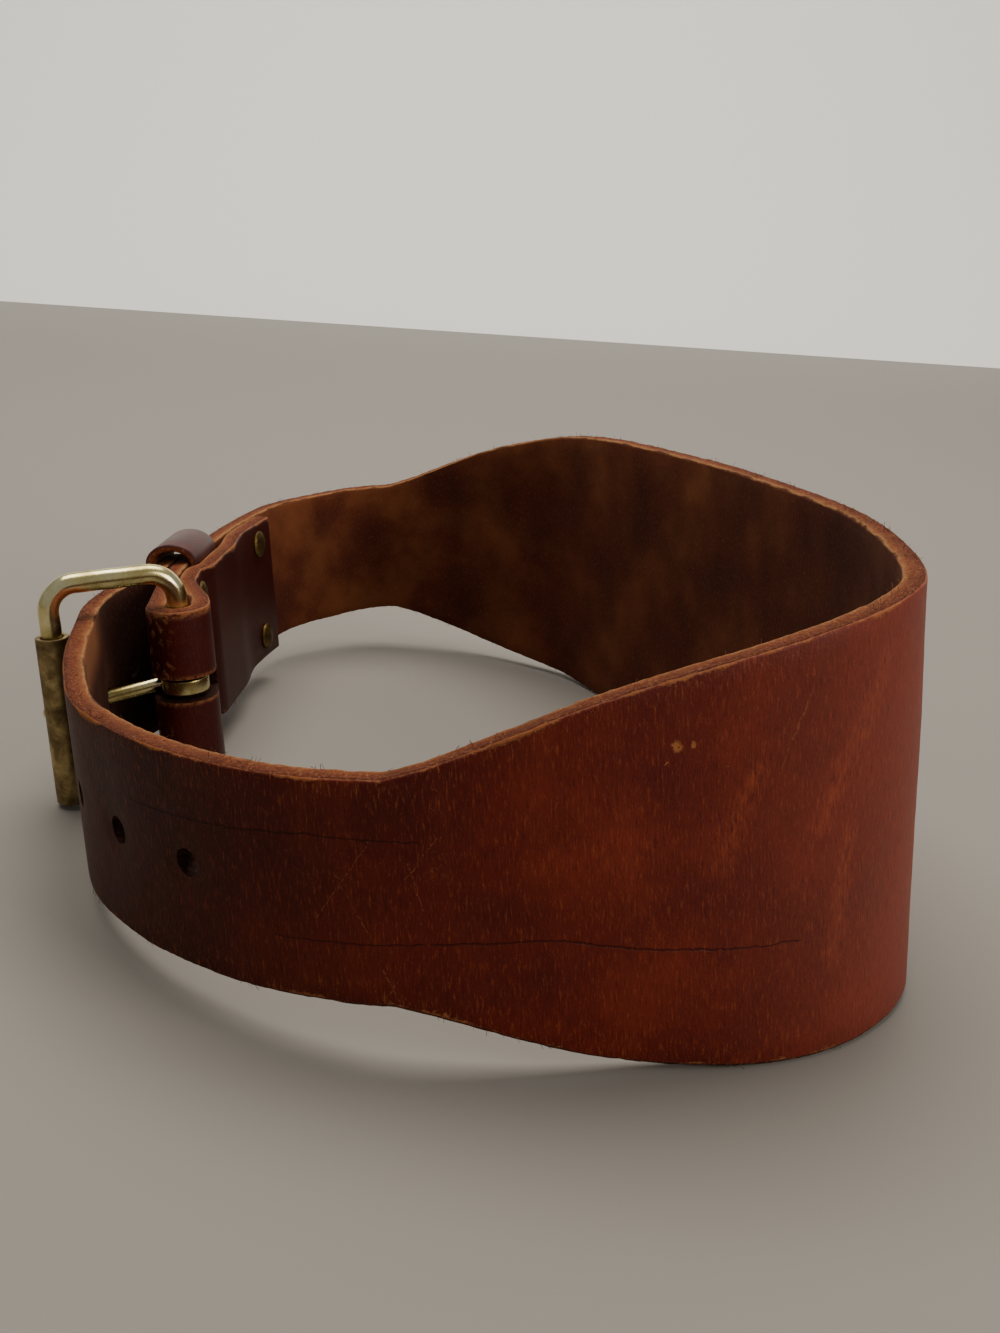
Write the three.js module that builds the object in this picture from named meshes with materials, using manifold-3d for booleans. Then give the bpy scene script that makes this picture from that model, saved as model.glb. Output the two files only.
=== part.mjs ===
// Leather weightlifting belt, buckled into its worn loop and standing on its lower edge.
// Millimetres, +Z up. The leather is one strap: its billet end is folded round the buckle's
// bar and riveted back on itself, and its free end passes inside the roller, over the
// outside of the fold and into the keeper.
// Plan coordinates start at the axis of the buckle's bar: +X runs towards the back panel,
// +Y towards the far flank. Distances "along" are measured on the leather from the fold.
import * as THREE from 'three';
import { mergeVertices } from 'three/addons/utils/BufferGeometryUtils.js';
import Module from 'manifold-3d';

const wasm = await Module();
wasm.setup();

// Leather
const STRAP_WIDTH = 50.8;
const BACK_WIDTH = 101.6;
const LEATHER = 5.6;
const LOOP_WIDTH = 216;
const LOOP_DEPTH = 319;
const BACK_START = 205;
const BACK_LENGTH = 470;
const TAPER_LENGTH = 123;
const FLAP_LENGTH = 127;
const FOLD_THROAT = 34;
const FOLD_SLACK = 0.6;
const FLAP_EASE = 25;
const TIP_PAST_KEEPER = 10;
const TIP_ROUNDING = 24;
const TIP_FLAT = 0.3;
const HOLE_PLAY = 1.4;
const HOLE_PITCH = 26.4;
const HOLES_TO_TIP = 2;
const HOLES_TO_BACK = 5;
const TONGUE_SLOT_REACH = 9;
const TONGUE_SLOT_PLAY = 1.1;

// Buckle
const WIRE = 6;
const FRAME_REACH = 35.8;
const FRAME_PLAY = 7.4;
const FRAME_TO_STRAP = 0.45;
const FRAME_CORNER = 8;
const FRAME_SWING = 20.5;
const ROLLER_DIAMETER = 9.5;
const ROLLER_PLAY = 8.2;
const ROLLER_DROP = 0.5;
const ROLLER_TO_STRAP = 2.5;
const TONGUE_ROD = 4;
const TONGUE_WRAP = 3.6;
const TONGUE_WRAP_HEIGHT = 4.8;
const TONGUE_RISE = 1.5;
const TONGUE_DIP = 8;
const TONGUE_OVERHANG = 5;

// Keeper and rivets
const KEEPER_ALONG = 64.5;
const KEEPER_WIDTH = 25;
const KEEPER_LEATHER = 2.4;
const KEEPER_RISE = 4;
const RIVET_HEAD = 9.6;
const RIVET_SHANK = 4;
const RIVET_DOME = 1.6;
const RIVET_BURR = 1.2;
const RIVET_SPREAD = 35;
const FOLD_RIVETS_ALONG = 40;
const END_RIVETS_MARGIN = 12;

const CLEARANCE = 0.3;

// Fineness of the facets and of the searches along the leather
const ROUTE_STEP = 5;
const SEARCH_STEP = 0.5;
const ROUND_SIDES = 24;
const ROD_SIDES = 16;
const CORNER_STEPS = 8;
const DOME_STEPS = 6;
const KEEPER_STEPS = 4;
const KEEPER_ARCH_STEPS = 12;
const TAPER_STEPS = 64;
const CURVE_DIVISIONS = 3000;
const LEVELLING_TURNS = 12;

// Plan of the loop at mid leather, from the fold round the far flank, the back and the near
// flank to the bend before the buckle, as shares of LOOP_WIDTH and LOOP_DEPTH from the bar
const LOOP_COLUMNS = ['across', 'away'];
const LOOP_ROWS = [
  [-0.045, 0.125], [-0.041, 0.194], [-0.024, 0.306], [0.001, 0.392], [0.030, 0.457],
  [0.064, 0.491], [0.110, 0.521], [0.163, 0.549], [0.217, 0.560], [0.337, 0.548],
  [0.414, 0.529], [0.490, 0.498], [0.553, 0.462], [0.609, 0.398], [0.664, 0.321],
  [0.715, 0.251], [0.761, 0.181], [0.801, 0.107], [0.863, -0.042], [0.883, -0.160],
  [0.872, -0.268], [0.847, -0.321], [0.779, -0.376], [0.685, -0.413], [0.519, -0.436],
  [0.381, -0.440], [0.300, -0.435], [0.237, -0.422], [0.160, -0.396], [0.073, -0.350],
  [0.028, -0.316], [-0.026, -0.262], [-0.064, -0.189], [-0.088, -0.125],
];

// Widening of the leather from the strap to the back panel: along as a share of
// TAPER_LENGTH, widened as a share of the difference between the two widths
const TAPER_ROWS = [[0, 0], [0.08, 0.11], [0.2, 0.32], [0.33, 0.54], [0.48, 0.72],
  [0.64, 0.86], [0.83, 0.96], [1, 1]];

// How far the free end stands off the billet between the roller and the keeper: along as a
// share of the keeper's near side, lifted as a share of FRAME_REACH
const LIFT_ROWS = [[0.12, 0.36], [0.5, 0.25], [0.8, 0.075]];

// Ends of the tongue's rod: radius, and distance from the heel's centre or back from the
// tip, as shares of the rod's radius
const ROD_HEEL_ROWS = [[0, -1], [0.7, -0.7], [1, 0]];
const ROD_TIP_ROWS = [[1, -2], [0.85, -0.5], [0.5, 0], [0, 0]];

const materials = {
  grain: new THREE.MeshStandardMaterial({ color: '#5a2015', roughness: 0.45, metalness: 0 }),
  keeper: new THREE.MeshStandardMaterial({ color: '#43201f', roughness: 0.4, metalness: 0 }),
  brass: new THREE.MeshStandardMaterial({ color: '#b9a55f', roughness: 0.28, metalness: 1 }),
  oldBrass: new THREE.MeshStandardMaterial({ color: '#6b5a38', roughness: 0.55, metalness: 1 }),
};

const rows = (columns, table) => table.map((row) => (
  Object.fromEntries(columns.map((name, i) => [name, row[i]]))
));
const smoothstep = THREE.MathUtils.smoothstep;

// Piecewise line through [x, y] pairs, level beyond both ends, each step eased
function eased(pairs, x) {
  for (let i = 1; i < pairs.length; i += 1) {
    const [x0, y0] = pairs[i - 1];
    const [x1, y1] = pairs[i];
    if (x <= x1) {
      return THREE.MathUtils.lerp(y0, y1, smoothstep(x, x0, x1));
    }
  }
  return pairs[pairs.length - 1][1];
}

// Closed skin over rings of equal length: joined end to start, or capped at both ends
function loft(rings, joined) {
  const size = rings[0].length;
  const positions = rings.flat().flatMap((p) => [p.x, p.y, p.z]);
  const index = [];
  const steps = joined ? rings.length : rings.length - 1;
  for (let i = 0; i < steps; i += 1) {
    const near = i * size;
    const far = ((i + 1) % rings.length) * size;
    for (let j = 0; j < size; j += 1) {
      const k = (j + 1) % size;
      index.push(near + j, near + k, far + k, near + j, far + k, far + j);
    }
  }
  if (!joined) {
    const last = (rings.length - 1) * size;
    for (let j = 1; j < size - 1; j += 1) {
      index.push(0, j + 1, j, last, last + j, last + j + 1);
    }
  }
  const geometry = new THREE.BufferGeometry();
  geometry.setAttribute('position', new THREE.Float32BufferAttribute(positions, 3));
  geometry.setIndex(index);
  return geometry;
}

function toSolid(geometry) {
  const bare = geometry.clone();
  bare.deleteAttribute('normal');
  bare.deleteAttribute('uv');
  const merged = mergeVertices(bare, 1e-4);
  return new wasm.Manifold(new wasm.Mesh({
    numProp: 3,
    vertProperties: new Float32Array(merged.attributes.position.array),
    triVerts: new Uint32Array(merged.index.array),
  }));
}

function toGeometry(solid) {
  const { vertProperties, triVerts } = solid.getMesh();
  const geometry = new THREE.BufferGeometry();
  geometry.setAttribute('position', new THREE.BufferAttribute(vertProperties, 3));
  geometry.setIndex(new THREE.BufferAttribute(triVerts, 1));
  return geometry;
}

// Geometry whose own Y axis is turned to a direction and moved to a place
function aimed(geometry, direction, place) {
  const turn = new THREE.Quaternion().setFromUnitVectors(new THREE.Vector3(0, 1, 0), direction);
  return geometry.applyQuaternion(turn).translate(place.x, place.y, place.z);
}

// Place, outward normal and travel direction at a distance along a plan curve
function station(curve, along) {
  const share = THREE.MathUtils.clamp(along / curve.getLength(), 0, 1);
  const point = curve.getPointAt(share);
  const tangent = curve.getTangentAt(share);
  return { point, tangent, normal: new THREE.Vector3(-tangent.y, tangent.x, 0) };
}

const offset = ({ point, normal }, outwards, height = 0) => (
  point.clone().addScaledVector(normal, outwards).setZ(height)
);

function planCurve(points) {
  const curve = new THREE.CatmullRomCurve3(points, false, 'centripetal');
  curve.arcLengthDivisions = CURVE_DIVISIONS;
  return curve;
}

// The buckle's place: bar at the origin, roller at the end of the swung arms
const swing = THREE.MathUtils.degToRad(FRAME_SWING);
const armDirection = new THREE.Vector3(-Math.cos(swing), -Math.sin(swing), 0);
const frameFront = new THREE.Vector3(-Math.sin(swing), Math.cos(swing), 0);
const rollerAxis = armDirection.clone().multiplyScalar(FRAME_REACH);
const frameLow = -STRAP_WIDTH / 2 - FRAME_TO_STRAP - WIRE / 2;
const frameHigh = frameLow + STRAP_WIDTH + FRAME_PLAY + WIRE;

// The leather's route: fold radius, billet and loop, then the free end over the billet
const foldRadius = WIRE / 2 + FOLD_SLACK + LEATHER / 2;
const layerPitch = LEATHER + CLEARANCE;
const keeperStart = KEEPER_ALONG - KEEPER_WIDTH / 2;
const keeperEnd = KEEPER_ALONG + KEEPER_WIDTH / 2;
const keeperPitch = LEATHER + KEEPER_LEATHER + 2 * CLEARANCE;

function leatherRoute() {
  const loop = rows(LOOP_COLUMNS, LOOP_ROWS).map(({ across, away }) => (
    new THREE.Vector3(across * LOOP_WIDTH, away * LOOP_DEPTH, 0)
  ));
  // the billet leaves the fold's circle along a tangent
  const reach = loop[0].length();
  const lean = Math.acos(foldRadius / reach);
  const leaves = loop[0].clone().setLength(foldRadius);
  leaves.applyAxisAngle(new THREE.Vector3(0, 0, 1), lean);
  const billet = planCurve([leaves, ...loop.slice(0, 6)]);
  const besideRoller = rollerAxis.clone();
  besideRoller.x += ROLLER_DIAMETER / 2 + ROLLER_TO_STRAP + LEATHER / 2;
  const lifted = LIFT_ROWS.map(([along, lift]) => (
    offset(station(billet, along * keeperStart), layerPitch + lift * FRAME_REACH)
  ));
  const tip = keeperEnd + TIP_PAST_KEEPER;
  const laid = [keeperStart, KEEPER_ALONG, keeperEnd, tip].map((along) => (
    offset(station(billet, along), layerPitch)
  ));
  return planCurve([leaves, ...loop, besideRoller, ...lifted, ...laid]);
}

const route = leatherRoute();
const routeLength = route.getLength();

// Distance from the billet's mid leather to the flap's, at a distance from the fold
function flapPitch(along) {
  const pastRivets = FOLD_RIVETS_ALONG + RIVET_HEAD / 2;
  return eased([
    [0, 2 * foldRadius], [FOLD_THROAT, layerPitch], [pastRivets, layerPitch],
    [keeperStart, keeperPitch], [keeperEnd, keeperPitch], [keeperEnd + FLAP_EASE, layerPitch],
  ], along);
}

const taper = new THREE.SplineCurve(TAPER_ROWS.map(([x, y]) => new THREE.Vector2(x, y)));
const taperPoints = taper.getPoints(TAPER_STEPS);

function leatherWidth(along) {
  const intoBack = Math.min(along - BACK_START, BACK_START + BACK_LENGTH - along);
  const share = THREE.MathUtils.clamp(intoBack / TAPER_LENGTH, 0, 1);
  const next = taperPoints.find(({ x }) => x >= share) ?? taperPoints[taperPoints.length - 1];
  const last = taperPoints[Math.max(taperPoints.indexOf(next) - 1, 0)];
  const part = next.x > last.x ? (share - last.x) / (next.x - last.x) : 0;
  const widened = THREE.MathUtils.lerp(last.y, next.y, part);
  const width = STRAP_WIDTH + (BACK_WIDTH - STRAP_WIDTH) * widened;
  const intoTip = Math.min((routeLength - along) / TIP_ROUNDING, 1);
  const roundness = Math.sqrt(1 - (1 - intoTip) ** 2);
  return width * (TIP_FLAT + (1 - TIP_FLAT) * roundness);
}

function leatherRing(point, normal, width) {
  return [[1, 1], [-1, 1], [-1, -1], [1, -1]].map(([side, edge]) => (
    point.clone().addScaledVector(normal, (side * LEATHER) / 2).setZ((edge * width) / 2)
  ));
}

function leatherStrip() {
  const rings = [];
  const flapSteps = Math.round(FLAP_LENGTH / ROUTE_STEP) * 2;
  for (let i = flapSteps; i > 0; i -= 1) {
    const along = (i / flapSteps) * FLAP_LENGTH;
    const rise = flapPitch(along + SEARCH_STEP) - flapPitch(along - SEARCH_STEP);
    const here = station(route, along);
    const flapNormal = here.tangent.clone().multiplyScalar(rise / (2 * SEARCH_STEP))
      .add(here.normal).normalize().negate();
    rings.push(leatherRing(offset(here, -flapPitch(along)), flapNormal, STRAP_WIDTH));
  }
  const leaving = station(route, 0);
  for (let i = 0; i < ROUND_SIDES; i += 1) {
    const normal = leaving.normal.clone().negate();
    normal.applyAxisAngle(new THREE.Vector3(0, 0, 1), (-i / ROUND_SIDES) * Math.PI);
    rings.push(leatherRing(normal.clone().multiplyScalar(foldRadius), normal, STRAP_WIDTH));
  }
  const bodySteps = Math.round(routeLength / ROUTE_STEP);
  const bodyStops = Array.from({ length: bodySteps }, (_, i) => (i / bodySteps) * routeLength);
  const tipStart = routeLength - TIP_ROUNDING;
  const stops = bodyStops.filter((along) => along < tipStart);
  for (let i = 0; i <= CORNER_STEPS; i += 1) {
    stops.push(tipStart + TIP_ROUNDING * Math.sin((i / CORNER_STEPS) * (Math.PI / 2)));
  }
  stops.forEach((along) => {
    const { point, normal } = station(route, along);
    rings.push(leatherRing(point, normal, leatherWidth(along)));
  });
  return toSolid(loft(rings, false));
}

// The tongue's rod lies on a straight line that clears the bar and rests on the roller,
// and dips towards its tip
const wrapInner = WIRE / 2 + CLEARANCE;
const rodStart = frameFront.clone().multiplyScalar(wrapInner + TONGUE_ROD / 2);
const rodOverRoller = rollerAxis.clone()
  .addScaledVector(frameFront, ROLLER_DIAMETER / 2 + CLEARANCE + TONGUE_ROD / 2);
const rodDirection = rodOverRoller.clone().sub(rodStart).normalize();
const rodSlope = Math.tan(THREE.MathUtils.degToRad(TONGUE_DIP));
const rodRun = rodOverRoller.distanceTo(rodStart) + TONGUE_OVERHANG;

// Distance along the free end at which the rod's line crosses it
function tongueHoleAlong() {
  const side = new THREE.Vector3(-rodDirection.y, rodDirection.x, 0);
  let along = routeLength;
  let before = station(route, along).point.sub(rodStart).dot(side);
  for (; along > BACK_START + BACK_LENGTH; along -= SEARCH_STEP) {
    const now = station(route, along - SEARCH_STEP).point.sub(rodStart).dot(side);
    if (before * now <= 0) {
      return along - SEARCH_STEP * (before / (before - now || 1));
    }
    before = now;
  }
  return along;
}

function strapHoles() {
  const used = tongueHoleAlong();
  const drop = rodSlope * station(route, used).point.distanceTo(rodStart);
  const radius = TONGUE_ROD / 2 + HOLE_PLAY;
  const count = HOLES_TO_TIP + HOLES_TO_BACK + 1;
  return Array.from({ length: count }, (_, i) => {
    const along = used + (HOLES_TO_TIP - i) * HOLE_PITCH;
    const { point, normal } = station(route, along);
    const bore = new THREE.CylinderGeometry(radius, radius, LEATHER + CLEARANCE, ROUND_SIDES);
    const height = i === HOLES_TO_TIP ? TONGUE_RISE - drop : 0;
    return toSolid(aimed(bore, normal, point.setZ(height)));
  });
}

function tongueSlot() {
  const outside = foldRadius + LEATHER;
  const slotHeight = TONGUE_WRAP_HEIGHT + 2 * TONGUE_SLOT_PLAY;
  const slot = new THREE.BoxGeometry(2 * outside, outside + TONGUE_SLOT_REACH, slotHeight);
  slot.translate(0, (TONGUE_SLOT_REACH - outside) / 2, TONGUE_RISE);
  return toSolid(slot);
}

// Rivets join flap and billet on both sides of the keeper: a domed head on the flap and a
// burr sunk into the billet
const rivetPlaces = [
  { name: 'rivet_fold_upper', along: FOLD_RIVETS_ALONG, height: RIVET_SPREAD / 2 },
  { name: 'rivet_fold_lower', along: FOLD_RIVETS_ALONG, height: -RIVET_SPREAD / 2 },
  { name: 'rivet_end_upper', along: FLAP_LENGTH - END_RIVETS_MARGIN, height: RIVET_SPREAD / 2 },
  { name: 'rivet_end_lower', along: FLAP_LENGTH - END_RIVETS_MARGIN, height: -RIVET_SPREAD / 2 },
];

// Lathe of a rivet, or with a margin the room it needs, along the outward normal
function rivetBody({ along, height }, margin) {
  const here = station(route, along);
  const outerFace = LEATHER / 2;
  const innerFace = -flapPitch(along) - LEATHER / 2;
  const shank = RIVET_SHANK / 2 + margin;
  const head = RIVET_HEAD / 2 + margin;
  const burrFloor = outerFace - RIVET_BURR - margin;
  const burrTop = margin > 0 ? outerFace + margin : outerFace;
  const headFloor = innerFace - CLEARANCE;
  const profile = [[0, headFloor - RIVET_DOME]];
  for (let i = 1; i < DOME_STEPS; i += 1) {
    const turn = (i / DOME_STEPS) * (Math.PI / 2);
    profile.push([head * Math.sin(turn), headFloor - RIVET_DOME * Math.cos(turn)]);
  }
  profile.push([head, headFloor], [shank, headFloor]);
  profile.push([shank, burrFloor], [head, burrFloor], [head, burrTop], [0, burrTop]);
  const lathe = new THREE.LatheGeometry(
    profile.map(([x, y]) => new THREE.Vector2(x, y)),
    ROUND_SIDES,
  );
  return toSolid(aimed(lathe, here.normal, here.point.setZ(height)));
}

function beltSolid() {
  const rivetRoom = rivetPlaces.map((place) => rivetBody(place, CLEARANCE));
  const frameRoom = toSolid(frameLoop(WIRE / 2 + CLEARANCE));
  return [...strapHoles(), tongueSlot(), frameRoom, ...rivetRoom].reduce(
    (leather, cut) => leather.subtract(cut),
    leatherStrip(),
  );
}

// Keeper: a leather ring round the billet and the free end, its inner run between the layers
function keeperSleeve(margin, reach) {
  const inner = -LEATHER / 2 - CLEARANCE - margin;
  const outer = LEATHER / 2 + layerPitch + CLEARANCE + margin;
  const middle = (inner + outer) / 2;
  const halfAcross = (outer - inner) / 2;
  const rise = KEEPER_RISE + margin;
  const rings = [];
  for (let i = 0; i <= KEEPER_STEPS; i += 1) {
    const along = KEEPER_ALONG + (i / KEEPER_STEPS - 0.5) * (KEEPER_WIDTH + 2 * reach);
    const here = station(route, along);
    const ring = [];
    for (let j = 0; j <= KEEPER_ARCH_STEPS; j += 1) {
      const turn = (j / KEEPER_ARCH_STEPS) * Math.PI;
      const height = STRAP_WIDTH / 2 + rise * Math.sin(turn);
      ring.push(offset(here, middle + halfAcross * Math.cos(turn), height));
    }
    const lower = ring.map((p) => p.clone().setZ(-p.z)).reverse();
    rings.push([...ring, ...lower]);
  }
  return toSolid(loft(rings, false));
}

function keeperSolid() {
  return keeperSleeve(KEEPER_LEATHER, 0).subtract(keeperSleeve(0, KEEPER_LEATHER));
}

// Buckle frame: a round wire bent to a rectangle with equal corners, or the room it needs
function frameLoop(radius) {
  const rings = [];
  const corners = [
    { arm: FRAME_REACH - FRAME_CORNER, height: frameHigh - FRAME_CORNER, from: 0 },
    { arm: FRAME_CORNER, height: frameHigh - FRAME_CORNER, from: 90 },
    { arm: FRAME_CORNER, height: frameLow + FRAME_CORNER, from: 180 },
    { arm: FRAME_REACH - FRAME_CORNER, height: frameLow + FRAME_CORNER, from: 270 },
  ];
  const up = new THREE.Vector3(0, 0, 1);
  corners.forEach(({ arm, height, from }) => {
    for (let i = 0; i <= CORNER_STEPS; i += 1) {
      const turn = THREE.MathUtils.degToRad(from + (i / CORNER_STEPS) * 90);
      const out = armDirection.clone().multiplyScalar(Math.cos(turn))
        .addScaledVector(up, Math.sin(turn));
      const centre = armDirection.clone().multiplyScalar(arm).setZ(height)
        .addScaledVector(out, FRAME_CORNER);
      const ring = [];
      for (let j = 0; j < ROUND_SIDES; j += 1) {
        const angle = (j / ROUND_SIDES) * 2 * Math.PI;
        ring.push(centre.clone().addScaledVector(out, radius * Math.cos(angle))
          .addScaledVector(frameFront, -radius * Math.sin(angle)));
      }
      rings.push(ring);
    }
  });
  return loft(rings, true);
}

// Roller: a tube on the frame's outer leg, notched where its lower end meets the corner
function rollerSolid() {
  const length = STRAP_WIDTH + FRAME_PLAY - ROLLER_PLAY;
  const radius = ROLLER_DIAMETER / 2;
  const tube = new THREE.CylinderGeometry(radius, radius, length, ROUND_SIDES);
  const middle = frameLow - ROLLER_DROP + length / 2;
  const blank = aimed(tube, new THREE.Vector3(0, 0, 1), rollerAxis.clone().setZ(middle));
  return toSolid(blank).subtract(toSolid(frameLoop(WIRE / 2 + CLEARANCE)));
}

// Tongue: a flat wrap round the bar and a round rod with a blunt tip
function tongueSolid() {
  const wrapOuter = wrapInner + TONGUE_WRAP;
  const half = TONGUE_WRAP_HEIGHT / 2;
  const wrapProfile = [[wrapInner, -half], [wrapOuter, -half], [wrapOuter, half],
    [wrapInner, half], [wrapInner, -half]];
  const wrap = new THREE.LatheGeometry(
    wrapProfile.map(([x, y]) => new THREE.Vector2(x, y)),
    ROUND_SIDES,
  );
  const rodRadius = TONGUE_ROD / 2;
  const dipping = rodDirection.clone().setZ(-rodSlope);
  const rodLength = rodRun * dipping.length();
  const rodProfile = [
    ...ROD_HEEL_ROWS.map(([across, back]) => [across * rodRadius, back * rodRadius]),
    ...ROD_TIP_ROWS.map(([across, back]) => [across * rodRadius, rodLength + back * rodRadius]),
  ];
  const rod = new THREE.LatheGeometry(
    rodProfile.map(([x, y]) => new THREE.Vector2(x, y)),
    ROD_SIDES,
  );
  const level = rodStart.clone().setZ(TONGUE_RISE);
  return toSolid(aimed(wrap, new THREE.Vector3(0, 0, 1), new THREE.Vector3(0, 0, TONGUE_RISE)))
    .add(toSolid(aimed(rod, dipping.normalize(), level)));
}

function piece(name, geometry, material) {
  const mesh = new THREE.Mesh(geometry, material);
  mesh.name = name;
  return mesh;
}

const belt = new THREE.Group();
belt.add(piece('belt', toGeometry(beltSolid()), materials.grain));
belt.add(piece('keeper_loop', toGeometry(keeperSolid()), materials.keeper));
belt.add(piece('buckle_frame', frameLoop(WIRE / 2), materials.brass));
belt.add(piece('buckle_roller', toGeometry(rollerSolid()), materials.oldBrass));
belt.add(piece('buckle_tongue', toGeometry(tongueSolid()), materials.brass));
rivetPlaces.forEach((place) => {
  belt.add(piece(place.name, toGeometry(rivetBody(place, 0)), materials.brass));
});

// The belt stands on the buckle's lower corner and on the lower edge of each flank of the
// back panel, so it is turned until these three places are level, the back panel upright
function standingTurn(points) {
  const zones = [
    (p) => p.x < 0,
    (p) => p.x >= 0 && p.y < 0,
    (p) => p.x >= 0 && p.y >= 0,
  ].map((inside) => points.filter(inside));
  const up = new THREE.Vector3(0, 0, 1);
  const turn = new THREE.Quaternion();
  for (let i = 0; i < LEVELLING_TURNS; i += 1) {
    const down = up.clone().applyQuaternion(turn.clone().invert()).negate();
    const [buckle, near, far] = zones.map((zone) => (
      zone.reduce((low, p) => (p.dot(down) > low.dot(down) ? p : low))
    ));
    const level = near.clone().sub(buckle).cross(far.clone().sub(buckle)).normalize();
    turn.setFromUnitVectors(level, up);
  }
  return turn;
}

function corners(mesh) {
  const { position } = mesh.geometry.attributes;
  return Array.from({ length: position.count }, (_, i) => (
    new THREE.Vector3().fromBufferAttribute(position, i)
  ));
}

const turn = standingTurn(belt.children.flatMap(corners));
belt.quaternion.copy(turn);
const bounds = new THREE.Box3().setFromPoints(
  belt.children.flatMap(corners).map((p) => p.applyQuaternion(turn)),
);
const middle = bounds.getCenter(new THREE.Vector3());
belt.position.set(-middle.x, -middle.y, -bounds.min.z);

export default belt;
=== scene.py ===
"""Leather weightlifting belt, fastened into its worn loop: surfaces, wear, light and camera.

The leather, keeper, buckle and rivets are built again over the model's solids with rounded
edges and fine relief, from the same sizes, and take procedural materials.
"""
import math

import bmesh
import bpy
import numpy as np
from mathutils import Matrix, Vector, noise


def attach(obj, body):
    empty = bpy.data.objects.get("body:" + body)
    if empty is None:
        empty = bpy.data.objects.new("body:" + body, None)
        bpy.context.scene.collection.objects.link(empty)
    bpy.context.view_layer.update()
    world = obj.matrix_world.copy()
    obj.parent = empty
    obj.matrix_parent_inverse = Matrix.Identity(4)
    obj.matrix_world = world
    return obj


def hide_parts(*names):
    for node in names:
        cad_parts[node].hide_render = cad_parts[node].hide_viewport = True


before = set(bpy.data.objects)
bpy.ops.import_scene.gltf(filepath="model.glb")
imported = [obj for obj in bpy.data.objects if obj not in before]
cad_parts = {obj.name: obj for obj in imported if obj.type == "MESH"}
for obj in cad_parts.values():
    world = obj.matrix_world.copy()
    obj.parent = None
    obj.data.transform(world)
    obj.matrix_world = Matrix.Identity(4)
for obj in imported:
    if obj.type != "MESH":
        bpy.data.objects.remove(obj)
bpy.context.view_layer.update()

MM = 0.001

# The part's own sizes in millimetres, as in its source
STRAP_WIDTH = 50.8
BACK_WIDTH = 101.6
LEATHER = 5.6
LOOP_WIDTH = 216
LOOP_DEPTH = 319
BACK_START = 205
BACK_LENGTH = 470
TAPER_LENGTH = 123
FLAP_LENGTH = 127
FOLD_THROAT = 34
FOLD_SLACK = 0.6
FLAP_EASE = 25
TIP_PAST_KEEPER = 10
TIP_ROUNDING = 24
TIP_FLAT = 0.3
HOLE_PLAY = 1.4
HOLE_PITCH = 26.4
HOLES_TO_TIP = 2
HOLES_TO_BACK = 5
TONGUE_SLOT_REACH = 9
TONGUE_SLOT_PLAY = 1.1
WIRE = 6
FRAME_REACH = 35.8
FRAME_PLAY = 7.4
FRAME_TO_STRAP = 0.45
FRAME_CORNER = 8
FRAME_SWING = 20.5
ROLLER_DIAMETER = 9.5
ROLLER_PLAY = 8.2
ROLLER_DROP = 0.5
ROLLER_TO_STRAP = 2.5
TONGUE_ROD = 4
TONGUE_WRAP = 3.6
TONGUE_WRAP_HEIGHT = 4.8
TONGUE_RISE = 1.5
TONGUE_DIP = 8
TONGUE_OVERHANG = 5
KEEPER_ALONG = 64.5
KEEPER_WIDTH = 25
KEEPER_LEATHER = 2.4
KEEPER_RISE = 4
RIVET_HEAD = 9.6
RIVET_SHANK = 4
RIVET_DOME = 1.6
RIVET_BURR = 1.2
RIVET_SPREAD = 35
FOLD_RIVETS_ALONG = 40
END_RIVETS_MARGIN = 12
CLEARANCE = 0.3

# Plan of the loop as shares of its width and depth, from the buckle's bar: across, away
LOOP_ROWS = [
    (-0.045, 0.125), (-0.041, 0.194), (-0.024, 0.306), (0.001, 0.392), (0.030, 0.457),
    (0.064, 0.491), (0.110, 0.521), (0.163, 0.549), (0.217, 0.560), (0.337, 0.548),
    (0.414, 0.529), (0.490, 0.498), (0.553, 0.462), (0.609, 0.398), (0.664, 0.321),
    (0.715, 0.251), (0.761, 0.181), (0.801, 0.107), (0.863, -0.042), (0.883, -0.160),
    (0.872, -0.268), (0.847, -0.321), (0.779, -0.376), (0.685, -0.413), (0.519, -0.436),
    (0.381, -0.440), (0.300, -0.435), (0.237, -0.422), (0.160, -0.396), (0.073, -0.350),
    (0.028, -0.316), (-0.026, -0.262), (-0.064, -0.189), (-0.088, -0.125),
]
# Widening into the back panel: share of its length, share of the difference in width
TAPER_ROWS = [(0, 0), (0.08, 0.11), (0.2, 0.32), (0.33, 0.54), (0.48, 0.72), (0.64, 0.86),
              (0.83, 0.96), (1, 1)]
# Free end's lift off the billet: share of the way to the keeper, share of the frame's reach
LIFT_ROWS = [(0.12, 0.36), (0.5, 0.25), (0.8, 0.075)]

# How the belt stands: the part's upright in its own plan, and its place on the floor, mm
LEAN = (0.10269, 0.01661, 0.994575)
PLACE = (-78.663, -19.015, 34.522)
CURVE_DIVISIONS = 3000


def hermite(start, end, slope_start, slope_end, share):
    """Cubic between two values with given slopes."""
    return (start + slope_start * share
            + (-3 * start + 3 * end - 2 * slope_start - slope_end) * share ** 2
            + (2 * start - 2 * end + slope_start + slope_end) * share ** 3)


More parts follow.
